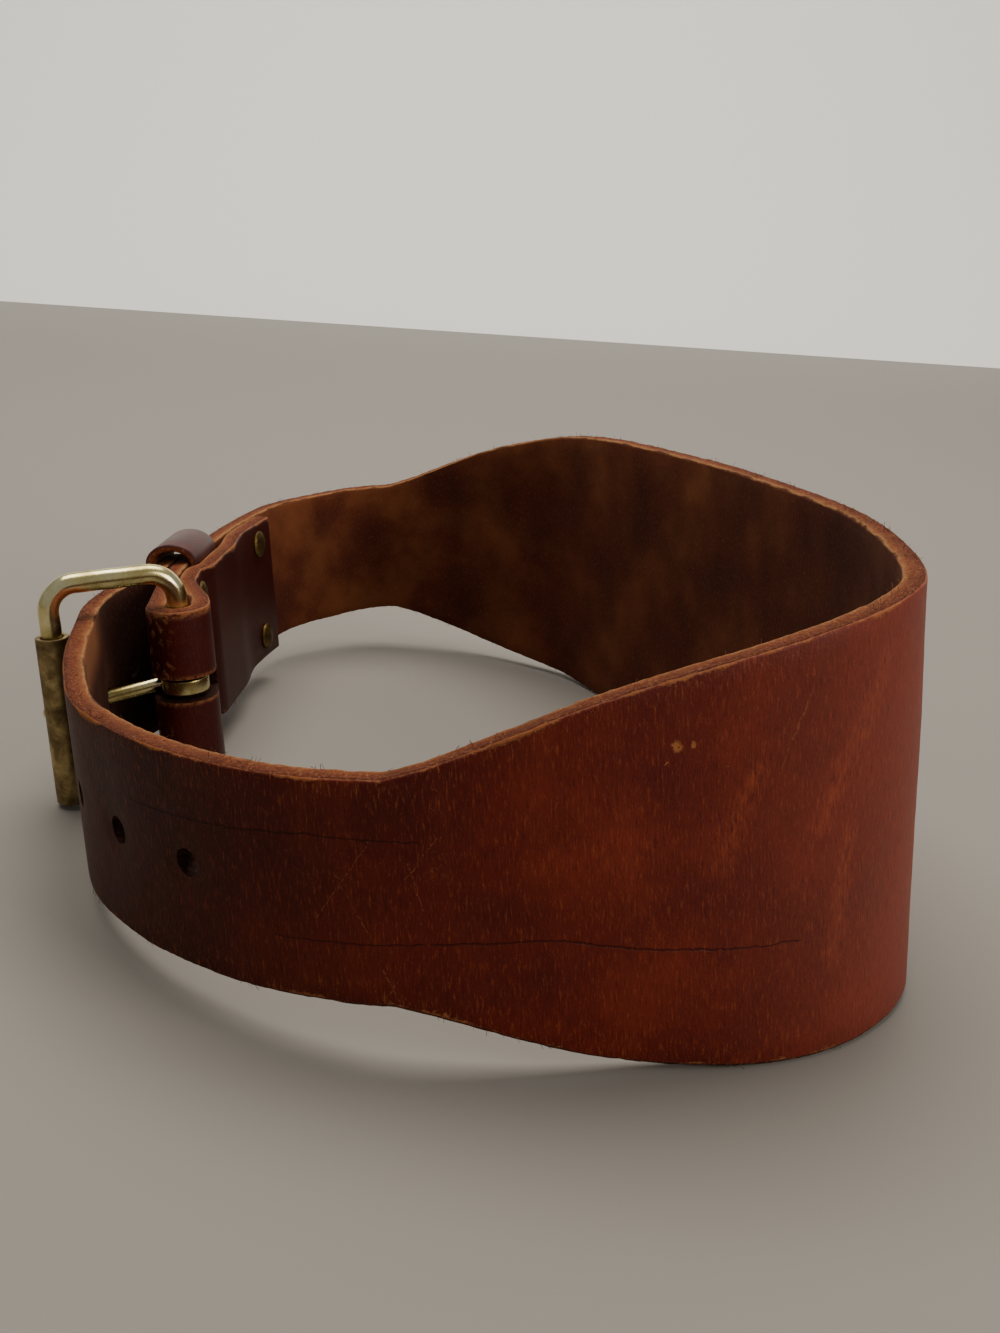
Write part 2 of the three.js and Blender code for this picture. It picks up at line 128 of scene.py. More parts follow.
class PlanCurve:
    """Centripetal curve through plan points, read by the distance along it."""

    def __init__(self, points):
        points = [np.array(p, float) for p in points]
        ends = [2 * points[0] - points[1]], [2 * points[-1] - points[-2]]
        padded = ends[0] + points + ends[1]
        samples = []
        for step in range(CURVE_DIVISIONS + 1):
            place = step / CURVE_DIVISIONS * (len(points) - 1)
            i = min(int(place), len(points) - 2)
            p0, p1, p2, p3 = padded[i:i + 4]
            d0, d1, d2 = (np.sqrt(np.linalg.norm(b - a)) for a, b in ((p0, p1), (p1, p2), (p2, p3)))
            slope_1 = ((p1 - p0) / d0 - (p2 - p0) / (d0 + d1) + (p2 - p1) / d1) * d1
            slope_2 = ((p2 - p1) / d1 - (p3 - p1) / (d1 + d2) + (p3 - p2) / d2) * d1
            samples.append(hermite(p1, p2, slope_1, slope_2, place - i))
        self.points = np.array(samples)
        steps = np.linalg.norm(np.diff(self.points, axis=0), axis=1)
        self.along = np.concatenate([[0], np.cumsum(steps)])
        self.length = self.along[-1]
        self.tangents = np.gradient(self.points, axis=0)

    def station(self, along):
        """Point, tangent and outward normal at a distance along the curve."""
        along = min(max(along, 0), self.length)
        point = np.array([np.interp(along, self.along, self.points[:, k]) for k in (0, 1)])
        tangent = np.array([np.interp(along, self.along, self.tangents[:, k]) for k in (0, 1)])
        tangent /= np.linalg.norm(tangent)
        return point, tangent, np.array([-tangent[1], tangent[0]])

    def offset(self, along, outwards):
        point, _, normal = self.station(along)
        return point + normal * outwards


SWING = math.radians(FRAME_SWING)
ARM = np.array([-math.cos(SWING), -math.sin(SWING)])
FRONT = np.array([-math.sin(SWING), math.cos(SWING)])
ROLLER_AXIS = ARM * FRAME_REACH
FRAME_LOW = -STRAP_WIDTH / 2 - FRAME_TO_STRAP - WIRE / 2
FRAME_HIGH = FRAME_LOW + STRAP_WIDTH + FRAME_PLAY + WIRE
FOLD_RADIUS = WIRE / 2 + FOLD_SLACK + LEATHER / 2
LAYER_PITCH = LEATHER + CLEARANCE
KEEPER_START = KEEPER_ALONG - KEEPER_WIDTH / 2
KEEPER_END = KEEPER_ALONG + KEEPER_WIDTH / 2
KEEPER_PITCH = LEATHER + KEEPER_LEATHER + 2 * CLEARANCE


def leather_route():
    """Plan curve of the leather at mid thickness, from the fold round to the free end's tip."""
    loop = [np.array([across * LOOP_WIDTH, away * LOOP_DEPTH]) for across, away in LOOP_ROWS]
    reach = np.linalg.norm(loop[0])
    lean = math.acos(FOLD_RADIUS / reach)
    turn = np.array([[math.cos(lean), -math.sin(lean)], [math.sin(lean), math.cos(lean)]])
    leaves = turn @ (loop[0] / reach * FOLD_RADIUS)
    billet = PlanCurve([leaves] + loop[:6])
    beside_roller = ROLLER_AXIS + [ROLLER_DIAMETER / 2 + ROLLER_TO_STRAP + LEATHER / 2, 0]
    lifted = [billet.offset(along * KEEPER_START, LAYER_PITCH + lift * FRAME_REACH)
              for along, lift in LIFT_ROWS]
    laid = [billet.offset(along, LAYER_PITCH) for along in
            (KEEPER_START, KEEPER_ALONG, KEEPER_END, KEEPER_END + TIP_PAST_KEEPER)]
    return PlanCurve([leaves] + loop + [beside_roller] + lifted + laid)


ROUTE = leather_route()


def flap_pitch(along):
    """Distance from the billet's middle to the flap's."""
    past_rivets = FOLD_RIVETS_ALONG + RIVET_HEAD / 2
    stops = [(0, 2 * FOLD_RADIUS), (FOLD_THROAT, LAYER_PITCH), (past_rivets, LAYER_PITCH),
             (KEEPER_START, KEEPER_PITCH), (KEEPER_END, KEEPER_PITCH),
             (KEEPER_END + FLAP_EASE, LAYER_PITCH)]
    for (x0, y0), (x1, y1) in zip(stops, stops[1:]):
        if along <= x1:
            share = min(max((along - x0) / (x1 - x0), 0), 1)
            return y0 + (y1 - y0) * share * share * (3 - 2 * share)
    return stops[-1][1]


def taper_line():
    """Samples of the smooth line through TAPER_ROWS."""
    rows = np.array(TAPER_ROWS, float)
    padded = np.vstack([rows[:1], rows, rows[-1:]])
    line = []
    for place in np.linspace(0, len(rows) - 1, 65):
        i = min(int(place), len(rows) - 2)
        p0, p1, p2, p3 = padded[i:i + 4]
        line.append(hermite(p1, p2, (p2 - p0) / 2, (p3 - p1) / 2, place - i))
    return np.array(line)


TAPER = taper_line()


def leather_width(along):
    """Width of the leather across its run."""
    into_back = min(along - BACK_START, BACK_START + BACK_LENGTH - along)
    share = min(max(into_back / TAPER_LENGTH, 0), 1)
    widened = np.interp(share, TAPER[:, 0], TAPER[:, 1])
    width = STRAP_WIDTH + (BACK_WIDTH - STRAP_WIDTH) * widened
    into_tip = min(max((ROUTE.length - along) / TIP_ROUNDING, 0), 1)
    return width * (TIP_FLAT + (1 - TIP_FLAT) * math.sqrt(1 - (1 - into_tip) ** 2))


ROD_START = FRONT * (WIRE / 2 + CLEARANCE + TONGUE_ROD / 2)
ROD_OVER_ROLLER = ROLLER_AXIS + FRONT * (ROLLER_DIAMETER / 2 + CLEARANCE + TONGUE_ROD / 2)
ROD_RUN = np.linalg.norm(ROD_OVER_ROLLER - ROD_START)
ROD = (ROD_OVER_ROLLER - ROD_START) / ROD_RUN
ROD_SLOPE = math.tan(math.radians(TONGUE_DIP))
ROD_LENGTH = (ROD_RUN + TONGUE_OVERHANG) * math.hypot(1, ROD_SLOPE)


def tongue_hole_along():
    """Distance along the leather at which the tongue passes through the free end."""
    side = np.array([-ROD[1], ROD[0]])
    ahead = np.arange(ROUTE.length, BACK_START + BACK_LENGTH, -0.1)
    signs = [np.sign((ROUTE.station(along)[0] - ROD_START) @ side) for along in ahead]
    return ahead[next(i for i in range(1, len(ahead)) if signs[i] != signs[0])]


HOLE_USED = tongue_hole_along()
USED_HEIGHT = TONGUE_RISE - ROD_SLOPE * np.linalg.norm(ROUTE.station(HOLE_USED)[0] - ROD_START)
HOLES = [(HOLE_USED + (HOLES_TO_TIP - i) * HOLE_PITCH, USED_HEIGHT if i == HOLES_TO_TIP else 0)
         for i in range(HOLES_TO_TIP + HOLES_TO_BACK + 1)]

# Fineness of the dressed surfaces, in mm or steps
RING_STEP = 1.35
FOLD_STEPS = 44
TIP_STEPS = 18
FACE_STEPS = 22
EDGE_STEPS = 5
CORNER_STEPS = 3
EDGE_ROUNDING = 0.9
WIRE_SIDES = 32
LATHE_SIDES = 48
SHARP_ANGLE = math.radians(40)
TOOL_MARGIN = 2
TOOL_SIDES = 40
GRAIN, FLESH, RAW = 0, 1, 2

TURN = np.array(Vector(LEAN).rotation_difference(Vector((0, 0, 1))).to_matrix())


def stand(points):
    """Points of the belt's own plan, in mm, as the belt stands on the floor, in metres."""
    return (np.asarray(points, float) @ TURN.T + PLACE) * MM


def ruffle(x, y, z=0.0):
    """Smooth noise from -1 to 1."""
    return noise.noise(Vector((x, y, z)))


def near(value, low, high):
    """0 below low, 1 above high, eased between."""
    share = min(max((value - low) / (high - low), 0), 1)
    return share * share * (3 - 2 * share)


def skin(rings, joined=False):
    """Vertices and faces over equal closed rings, end to end or capped."""
    count, size = len(rings), len(rings[0])
    vertices = np.asarray(rings, float).reshape(-1, 3)
    faces = []
    for i in range(count if joined else count - 1):
        near_ring, far_ring = i * size, (i + 1) % count * size
        for j in range(size):
            k = (j + 1) % size
            faces.append((near_ring + j, near_ring + k, far_ring + k, far_ring + j))
    if not joined:
        faces.append(tuple(reversed(range(size))))
        faces.append(tuple(range((count - 1) * size, count * size)))
    return vertices, faces


def lathe(profile, sides, direction=(0, 0, 1), place=(0, 0, 0)):
    """Turned body from (radius, height) pairs; a profile that is off the axis is closed."""
    hollow = profile[0][0] > 0
    angles = np.linspace(0, 2 * math.pi, sides, endpoint=False)
    turn = np.array(Vector((0, 0, 1)).rotation_difference(Vector(direction)).to_matrix())
    vertices, faces, rows = [], [], []
    for radius, height in profile:
        if radius == 0:
            rows.append([len(vertices)] * sides)
            vertices.append((0, 0, height))
        else:
            rows.append(list(range(len(vertices), len(vertices) + sides)))
            vertices += [(radius * math.cos(a), radius * math.sin(a), height) for a in angles]
    pairs = list(zip(rows, rows[1:])) + ([(rows[-1], rows[0])] if hollow else [])
    for lower, upper in pairs:
        for j in range(sides):
            k = (j + 1) % sides
            corners = (lower[j], lower[k], upper[k], upper[j])
            face = tuple(dict.fromkeys(corners))
            if len(face) > 2:
                faces.append(face)
    return np.array(vertices) @ turn.T + np.array(place), faces


def make_mesh(name, parts, materials, kinds=None):
    """One object from (vertices, faces) parts in plan mm, faces outwards, smooth by angle."""
    vertices, faces = [], []
    for part_vertices, part_faces in parts:
        start = len(vertices)
        vertices += stand(part_vertices).tolist()
        faces += [tuple(start + i for i in face) for face in part_faces]
    mesh = bpy.data.meshes.new(name)
    mesh.from_pydata(vertices, [], faces)
    for material in materials:
        mesh.materials.append(material)
    if kinds is not None:
        mesh.polygons.foreach_set("material_index", kinds)
    shell = bmesh.new()
    shell.from_mesh(mesh)
    bmesh.ops.recalc_face_normals(shell, faces=shell.faces)
    shell.to_mesh(mesh)
    shell.free()
    mesh.shade_smooth()
    mesh.set_sharp_from_angle(angle=SHARP_ANGLE)
    made = bpy.data.objects.new(name, mesh)
    bpy.context.scene.collection.objects.link(made)
    return made


def settle(piece):
    """Replaces a piece's mesh by its evaluated one and drops the modifiers."""
    evaluated = piece.evaluated_get(bpy.context.evaluated_depsgraph_get())
    mesh = bpy.data.meshes.new_from_object(evaluated)
    piece.modifiers.clear()
    old = piece.data
    piece.data = mesh
    mesh.name = piece.name
    bpy.data.meshes.remove(old)


def keep_above_floor(piece):
    """Lifts what hangs below the floor on to it."""
    places = np.empty(len(piece.data.vertices) * 3, np.float32)
    piece.data.vertices.foreach_get("co", places)
    places[2::3] = np.maximum(places[2::3], 0)
    piece.data.vertices.foreach_set("co", places)


def cut(piece, cutters):
    """Cuts closed tools out of a piece, whose cut faces take the tool's own material."""
    for cutter in cutters:
        trim = piece.modifiers.new("cut", "BOOLEAN")
        trim.operation = "DIFFERENCE"
        trim.solver = "EXACT"
        trim.material_mode = "TRANSFER"
        trim.object = cutter
    settle(piece)
    for cutter in cutters:
        bpy.data.objects.remove(cutter)
    piece.data.set_sharp_from_angle(angle=SHARP_ANGLE)


# Colours as the eye reads them in sRGB
def linear(colour):
    """Linear RGBA of an sRGB hex colour."""
    channels = [int(colour[i:i + 2], 16) / 255 for i in (1, 3, 5)]
    return [c / 12.92 if c <= 0.04045 else ((c + 0.055) / 1.055) ** 2.4 for c in channels] + [1]


def put(tree, socket, value):
    """Links a socket, or sets its value."""
    if isinstance(value, bpy.types.NodeSocket):
        tree.links.new(value, socket)
    else:
        socket.default_value = value


def add(tree, kind, inputs=(), pick=0, stops=None, **settings):
    """Adds a node with its settings, its inputs' values or links, and gives one output."""
    made = tree.nodes.new(kind)
    for key, value in settings.items():
        setattr(made, key, value)
    pairs = inputs.items() if isinstance(inputs, dict) else enumerate(inputs)
    for key, value in pairs:
        put(tree, made.inputs[key], value)
    if stops:
        ramp = made.color_ramp
        for i, (place, colour) in enumerate(stops):
            stop = ramp.elements[i] if i < 2 else ramp.elements.new(place)
            stop.position = place
            stop.color = linear(colour)
    return made.outputs[pick]


MATH, MIX, RANGE = "ShaderNodeMath", "ShaderNodeMix", "ShaderNodeMapRange"
NOISE, CELLS, VECTOR = "ShaderNodeTexNoise", "ShaderNodeTexVoronoi", "ShaderNodeVectorMath"
RAMP, SPLIT, READ = "ShaderNodeValToRGB", "ShaderNodeSeparateXYZ", "ShaderNodeAttribute"
CLOUDS, PORES, CRACKS = (NOISE, {}), (CELLS, {}), (CELLS, {"feature": "DISTANCE_TO_EDGE"})
SMOOTH = {"interpolation_type": "SMOOTHSTEP"}
COLOUR = {"data_type": "RGBA"}
TIMES = {"operation": "MULTIPLY"}
TIMES_PLUS = {"operation": "MULTIPLY_ADD"}
LESS = {"operation": "SUBTRACT"}
MOST = {"operation": "MAXIMUM"}


def blank_material(name):
    """New material and its node tree."""
    material = bpy.data.materials.new(name)
    material.use_nodes = True
    return material, material.node_tree


def coat(tree, values, relief=None):
    """Sets the shader's inputs, and its relief by a height, a strength and a depth in mm."""
    if relief:
        height, strength, depth = relief
        values["Normal"] = add(tree, "ShaderNodeBump", {"Height": height, "Strength": strength,
                                                        "Distance": depth * MM})
    for name, value in values.items():
        put(tree, tree.nodes["Principled BSDF"].inputs[name], value)


def painted(tree, colour, shares, layers):
    """Colour with layers laid over it in turn: name of the share, strength, sRGB hex."""
    for name, strength, tone in layers:
        share = add(tree, MATH, (shares[name], strength), **TIMES)
        colour = add(tree, MIX, {0: share, 6: colour, 7: linear(tone)}, 2, **COLOUR)
    return colour


def worn_shares(tree, rows, overlaps=(), known=None):
    """Shares by name, eased from 0 to 1 between two values of a source, beside known ones.
    An overlap keeps its first share only as far as its second one covers it."""
    shares = dict(known or {})
    for name, source, none, full in rows:
        shares[name] = add(tree, RANGE, (source, none, full), **SMOOTH)
    for name, other in overlaps:
        shares[name] = add(tree, MATH, (shares[name], shares[other]), **TIMES)
    return shares


# Marks on the outer face, in mm along the leather and above its middle, from end to end:
# what they are, start along, start up, end along, end up, width
MARKS = [
    ("crease", 666.9, -10.7, 641.0, -11.0, 0.3), ("crease", 641.0, -11.0, 624.4, -14.7, 0.35),
    ("crease", 624.4, -14.7, 603.2, -17.4, 0.35), ("crease", 603.2, -17.4, 589.0, -18.7, 0.25),
    ("crease", 740.3, 10.4, 713.9, 11.2, 0.28), ("crease", 713.9, 11.2, 690.5, 12.8, 0.3),
    ("crease", 690.5, 12.8, 668.0, 12.0, 0.22), ("crease", 700.0, -11.5, 668.0, -10.5, 0.2),
    ("scratch", 588.1, 36.3, 592.1, 27.2, 0.3), ("scratch", 593.0, 25.5, 594.5, 21.0, 0.2),
    ("scratch", 676.6, -16.8, 673.6, -24.0, 0.3), ("scratch", 673.4, -18.5, 676.2, -22.8, 0.25),
    ("scratch", 690.0, -6.0, 678.0, 12.0, 0.16), ("scratch", 684.5, 2.5, 678.5, -9.5, 0.15),
    ("scratch", 671.0, 4.0, 664.5, 13.0, 0.16), ("scratch", 668.0, -3.0, 670.5, 8.0, 0.15),
    ("streak", 571.6, 31.2, 584.4, 6.8, 4.5), ("streak", 566.0, 40.0, 573.0, 24.0, 4.0),
    ("streak", 576.3, 3.2, 580.6, -26.2, 4.2), ("streak", 600.0, 22.0, 607.0, 2.0, 4.0),
    ("chip", 616.9, 29.5, 616.5, 29.0, 1.35), ("chip", 613.3, 29.6, 613.4, 29.1, 0.75),
    ("chip", 618.6, 26.0, 619.0, 25.6, 0.3), ("chip", 606.2, 24.0, 606.2, 23.9, 0.22),
]
SCUFFS = ((683, 4, 20), (676, -20, 12), (668, 22, 12), (735, -14, 12), (664, 8, 12))


def strap_place(tree):
    """Place on the strap in mm: along it, up it."""
    uv = add(tree, "ShaderNodeUVMap", uv_map="strap")
    return add(tree, VECTOR, {0: uv, 3: 1 / MM}, operation="SCALE")


def strap_patterns(tree, place, rows):
    """Patterns by name, whose unit is so many mm along and up the strap."""
    patterns = {}
    for name, (kind, settings), along, up, inputs in rows:
        unit = add(tree, "ShaderNodeMapping", {"Vector": place, "Scale": (1 / along, 1 / up, 1)})
        patterns[name] = add(tree, kind, {"Vector": unit, "Scale": 1.0, **inputs}, **settings)
    return patterns


def mark_shares(tree, place):
    """How much of each kind of mark covers a place, from 0 to 1."""
    wobble = add(tree, NOISE, {"Vector": place, "Scale": 0.5, "Detail": 4.0}, "Color")
    wobble = add(tree, VECTOR, (wobble, (0.5, 0.5, 0.5)), **LESS)
    wobble = add(tree, VECTOR, {0: wobble, 3: 1.1}, operation="SCALE")
    moved = add(tree, VECTOR, (place, wobble))
    moved = add(tree, VECTOR, (moved, (1, 1, 0)), **TIMES)
    shares = {}
    for kind, along_0, up_0, along_1, up_1, width in MARKS:
        run = Vector((along_1 - along_0, up_1 - up_0, 0))
        away = add(tree, VECTOR, (moved, (along_0, up_0, 0)), **LESS)
        share = add(tree, VECTOR, (away, run / run.length_squared), 1, operation="DOT_PRODUCT")
        share = add(tree, MATH, (share, 0.0), operation="ADD", use_clamp=True)
        foot = add(tree, VECTOR, {0: run, 3: share}, operation="SCALE")
        rest = add(tree, VECTOR, (away, foot), **LESS)
        gap = add(tree, VECTOR, (rest,), 1, operation="LENGTH")
        core = 0.0 if kind == "streak" else width * 0.35
        here = add(tree, RANGE, (gap, width, core), **SMOOTH)
        if kind in shares:
            here = add(tree, MATH, (shares[kind], here), **MOST)
        shares[kind] = here
    return shares


def scuff_share(tree, place):
    """Soft patches in which the grain is rubbed and crossed by hair-fine scratches."""
    total = 0.0
    for along, up, radius in SCUFFS:
        away = add(tree, VECTOR, (place, (along, up, 0)), 1, operation="DISTANCE")
        here = add(tree, RANGE, (away, radius, radius * 0.2), **SMOOTH)
        total = add(tree, MATH, (total, here), **MOST)
    return total


def grain_shares(tree, place, along, pattern):
    """How far each tone and each kind of wear covers a place on the grain, from 0 to 1."""
    up = add(tree, SPLIT, (place,), 1)
    gap, rim = (add(tree, READ, pick="Fac", attribute_name=name) for name in ("gap", "rim"))
    from_line = add(tree, MATH, (pattern["lines"], 0.5), **LESS)
    from_line = add(tree, MATH, (from_line,), operation="ABSOLUTE")
    from_slot = add(tree, MATH, (up, TONGUE_RISE), **LESS)
    from_slot = add(tree, MATH, (from_slot,), operation="ABSOLUTE")
    slot_edge = TONGUE_WRAP_HEIGHT / 2 + TONGUE_SLOT_PLAY
    by_slot = add(tree, RANGE, (from_slot, slot_edge + 1.6, slot_edge), **SMOOTH)
    by_border = add(tree, RANGE, (gap, 3.0, 0.6), **SMOOTH)
    reach = add(tree, RANGE, (pattern["wide"], 0.42, 0.7, 1.2, 6.0), **SMOOTH)
    for _ in range(2):
        reach = add(tree, MATH, (reach, pattern["ragged"]), **TIMES)
    past_reach = add(tree, MATH, (gap, reach), **LESS)
    known = {**mark_shares(tree, place), "rim": rim, "scuffed": scuff_share(tree, place),
             "patchy": pattern["patchy"],
             "frayed": add(tree, MATH, (by_slot, by_border), **MOST)}
    rows = (
        # painted shade, nearly black by the holes; painted sheen, rosier to the back panel; unworn
        # black-red on the flap
        ("shaded end", along, 640.0, 745.0), ("rosy sheen", along, 620.0, 540.0),
        ("near side", along, 360.0, 470.0), ("fresh", along, -8.0, -24.0),
        # short upright flecks of lighter fibre, half a millimetre wide, and dark pores between
        ("light", pattern["fleck"], 0.52, 0.7), ("dark", pattern["fleck"], 0.46, 0.3),
        ("band", pattern["band"], 0.5, 0.75),
        # sparse bright pinpricks where single fibres stand up, and hair-fine scratches
        ("in patch", pattern["patchy"], 0.45, 0.65), ("prick", pattern["prick"], 0.66, 0.76),
        ("hair", from_line, 0.008, 0.003),
        # what breaks up the marks
        ("broken", pattern["dots"], 0.4, 0.58), ("flaked", pattern["dots"], 0.36, 0.44),
        ("streaky", pattern["fleck"], 0.36, 0.62),
        # dye rubbed off along both borders in a ragged line, and a little round the holes;
        # fibre shows through for some millimetres inside the flank's borders
        ("border", past_reach, 0.25, -0.35), ("rubbed", pattern["ragged"], 0.45, 0.62),
        ("fuzz", gap, 9.0, 0.5), ("flank", along, 560.0, 650.0),
        # the turned fold is dark, cracked into blisters on the side that is handled, and
        # frayed at its borders and at those of the tongue's slot
        ("turned", along, -26.0, -18.0), ("folded", along, -10.5, -6.0),
        ("unfolded", along, 4.0, -1.0), ("blister", pattern["crack"], 0.14, 0.3),
        ("burst", pattern["ragged"], 0.4, 0.52))
    return worn_shares(tree, rows, (
        # the painted sheen is kept off the near side
        ("rosy sheen", "near side"), ("prick", "patchy"), ("hair", "scuffed"), ("hair", "in patch"),
        ("scratch", "broken"), ("chip", "flaked"), ("streak", "streaky"), ("rubbed", "rim"),
        ("fuzz", "flank"), ("fuzz", "light"), ("turned", "unfolded"), ("folded", "unfolded"),
        ("blister", "burst"), ("blister", "folded"), ("frayed", "burst"),
        ("frayed", "turned")), known)


def grain_leather():
    """Vegetable-tanned cowhide, drum-dyed red-brown and waxed: dark, a little glossy, with
    fine upright fibre flecks, rubbed borders, creases and scratches down to the tan; painted
    shade darkens it towards the holes and a painted sheen turns it rosier towards the back panel."""
    material, tree = blank_material("waxed red-brown cowhide")
    place = strap_place(tree)
    along = add(tree, SPLIT, (place,))
    pattern = strap_patterns(tree, place, (
        ("cloud", CLOUDS, 34, 34, {"Detail": 5.0, "Roughness": 0.6}),
        ("fleck", CLOUDS, 0.55, 3.6, {"Detail": 6.0, "Roughness": 0.72, "Distortion": 0.25}),
        ("band", CLOUDS, 9, 60, {"Detail": 3.0}),
        ("patchy", CLOUDS, 9, 9, {"Detail": 3.0}),
        ("prick", CLOUDS, 0.3, 0.9, {"Detail": 2.0}),
        ("lines", CLOUDS, 5, 11, {"Detail": 2.5, "Distortion": 1.2}),
        ("dots", CLOUDS, 0.625, 0.625, {"Detail": 3.0}),
        ("ragged", CLOUDS, 1.4, 1, {"Detail": 6.0, "Roughness": 0.75}),
        ("wide", CLOUDS, 16, 40, {"Detail": 2.0}),
        ("crack", CRACKS, 2.6, 4.2, {}), ("pores", PORES, 0.5, 0.7, {})))
    shares = grain_shares(tree, place, along, pattern)
    hide = add(tree, RAMP, (pattern["cloud"],),
               stops=[(0.3, "#4a110a"), (0.5, "#5f190c"), (0.72, "#742613")])
    hide = painted(tree, hide, shares, (
        # the first two layers are painted shade towards the holes and painted sheen towards the back
        # panel
        ("shaded end", 0.8, "#2b0e08"), ("rosy sheen", 0.55, "#8c3d2b"), ("light", 0.42, "#a3502b"),
        ("dark", 0.6, "#200602"), ("band", 0.18, "#85371f"), ("fresh", 0.85, "#270707"),
        ("turned", 0.5, "#330a0a"), ("folded", 0.35, "#1b0605"), ("streak", 0.28, "#a8502e"),
        ("crease", 0.5, "#1e0603"), ("rim", 0.6, "#1b0705")))
    bare = 0.0
    for name, strength in (("hair", 0.2), ("prick", 0.8), ("scratch", 0.42), ("chip", 1.0),
                           ("border", 0.7), ("rubbed", 0.22), ("blister", 0.85),
                           ("frayed", 0.75), ("fuzz", 0.45)):
        share = add(tree, MATH, (shares[name], strength), **TIMES)
        bare = add(tree, MATH, (bare, share), **MOST)
    tan = add(tree, MIX, {0: pattern["ragged"], 6: linear("#713417"), 7: linear("#bd7c49")}, 2,
              **COLOUR)
    colour = add(tree, MIX, {0: bare, 6: hide, 7: tan}, 2, **COLOUR)
    dull = add(tree, MATH, (pattern["cloud"], 0.2, 0.36), **TIMES_PLUS)
    dull = add(tree, MATH, (bare, 0.3, dull), use_clamp=True, **TIMES_PLUS)
    gloss = add(tree, RANGE, (along, 560.0, 740.0, 0.24, 0.12), **SMOOTH)
    height = add(tree, MATH, (pattern["pores"], 0.25), **TIMES)
    for share, depth in ((pattern["fleck"], 0.6), (shares["crease"], -1.0), (bare, -0.5),
                         (shares["blister"], 1.6)):
        height = add(tree, MATH, (share, depth, height), **TIMES_PLUS)
    coat(tree, {"Base Color": colour, "Roughness": dull, "Specular IOR Level": gloss},
         (height, 0.85, 0.3))
    return material


def flesh_leather():
    """Flesh side of the hide, sueded and soaked dark by wear: matt, softly blotched brown,
    dried out lighter by the buckle's top edge, with short loose nap."""
    material, tree = blank_material("sueded flesh side")
    place = strap_place(tree)
    along = add(tree, SPLIT, (place,))
    gap = add(tree, READ, pick="Fac", attribute_name="gap")
    pattern = strap_patterns(tree, place, (
        ("blotch", CLOUDS, 30, 30, {"Detail": 4.0}), ("stain", CLOUDS, 26, 34, {"Detail": 4.0}),
        ("nap", CLOUDS, 0.9, 1.4, {"Detail": 6.0, "Roughness": 0.75})))
    colour = add(tree, RAMP, (pattern["blotch"],),
                 stops=[(0.3, "#4b1f12"), (0.48, "#5c2a17"), (0.64, "#6f3a20"), (0.8, "#89502f")])
    shares = worn_shares(tree, (
        ("stain", pattern["stain"], 0.55, 0.36), ("dried", along, 290.0, 190.0),
        ("dry patch", pattern["blotch"], 0.4, 0.65), ("sweated", along, 400.0, 500.0),
        ("shaded", along, 770.0, 810.0), ("worn", along, 792.0, 812.0),
        ("by tip", along, 858.0, 838.0), ("by top", gap, 16.0, 5.0),
        ("lint", pattern["nap"], 0.5, 0.78)),
        (("dried", "dry patch"), ("worn", "by tip"), ("worn", "by top")))
    colour = painted(tree, colour, shares, (
        ("stain", 0.35, "#2f1108"), ("dried", 0.4, "#8f5530"), ("sweated", 0.35, "#2b1009"),
        ("shaded", 0.6, "#1e0c07"), ("worn", 0.75, "#8a5635"), ("lint", 0.32, "#9d7450")))
    coat(tree, {"Base Color": colour, "Roughness": 0.85, "Specular IOR Level": 0.2},
         (pattern["nap"], 0.6, 0.3))
    return material


def raw_edge():
    """Cut edge of the hide, never sealed: granular dry fibre, rubbed red-brown for most of
    its thickness, pale tan in a thin line by the flesh side."""
    material, tree = blank_material("raw cut leather edge")
    here = add(tree, "ShaderNodeTexCoord", pick="Object")
    thick = add(tree, READ, pick="Fac", attribute_name="thick")
    fibre = add(tree, NOISE, {"Vector": here, "Scale": 1 / (0.8 * MM), "Detail": 6.0,
                              "Roughness": 0.85})
    patch = add(tree, NOISE, {"Vector": here, "Scale": 1 / (9 * MM), "Detail": 4.0})
    drift = add(tree, MATH, (patch, 3.0, -1.5), **TIMES_PLUS)
    depth = add(tree, MATH, (thick, drift), operation="ADD")
    depth = add(tree, RANGE, (depth, -LEATHER / 2, LEATHER / 2))
    colour = add(tree, RAMP, (depth,),
                 stops=[(0.0, "#5c321b"), (0.1, "#a17347"), (0.2, "#89512f"), (0.4, "#70371c"),
                        (0.8, "#5f2815"), (1.0, "#42180d")])
    shares = worn_shares(tree, (("light", fibre, 0.5, 0.7), ("dark", fibre, 0.48, 0.33),
                                ("dirty", patch, 0.52, 0.36)))
    colour = painted(tree, colour, shares, (
        ("light", 0.62, "#c58c58"), ("dark", 0.7, "#3a170c"), ("dirty", 0.45, "#4f2412")))
    coat(tree, {"Base Color": colour, "Roughness": 0.88, "Specular IOR Level": 0.2},
         (fibre, 0.9, 0.4))
    return material


def hole_wall():
    """Punched walls of holes and slots: matt and almost black, the shade inside them painted."""
    material, tree = blank_material("punched hole wall in painted shade")
    here = add(tree, "ShaderNodeTexCoord", pick="Object")
    shade_mottle = add(tree, NOISE, {"Vector": here, "Scale": 1 / (0.9 * MM), "Detail": 5.0})
    colour = add(tree, RAMP, (shade_mottle,),
                 stops=[(0.35, "#170805"), (0.6, "#3a1a0e"), (0.78, "#6b3b20")])
    coat(tree, {"Base Color": colour, "Roughness": 0.8, "Specular IOR Level": 0.2})
    return material


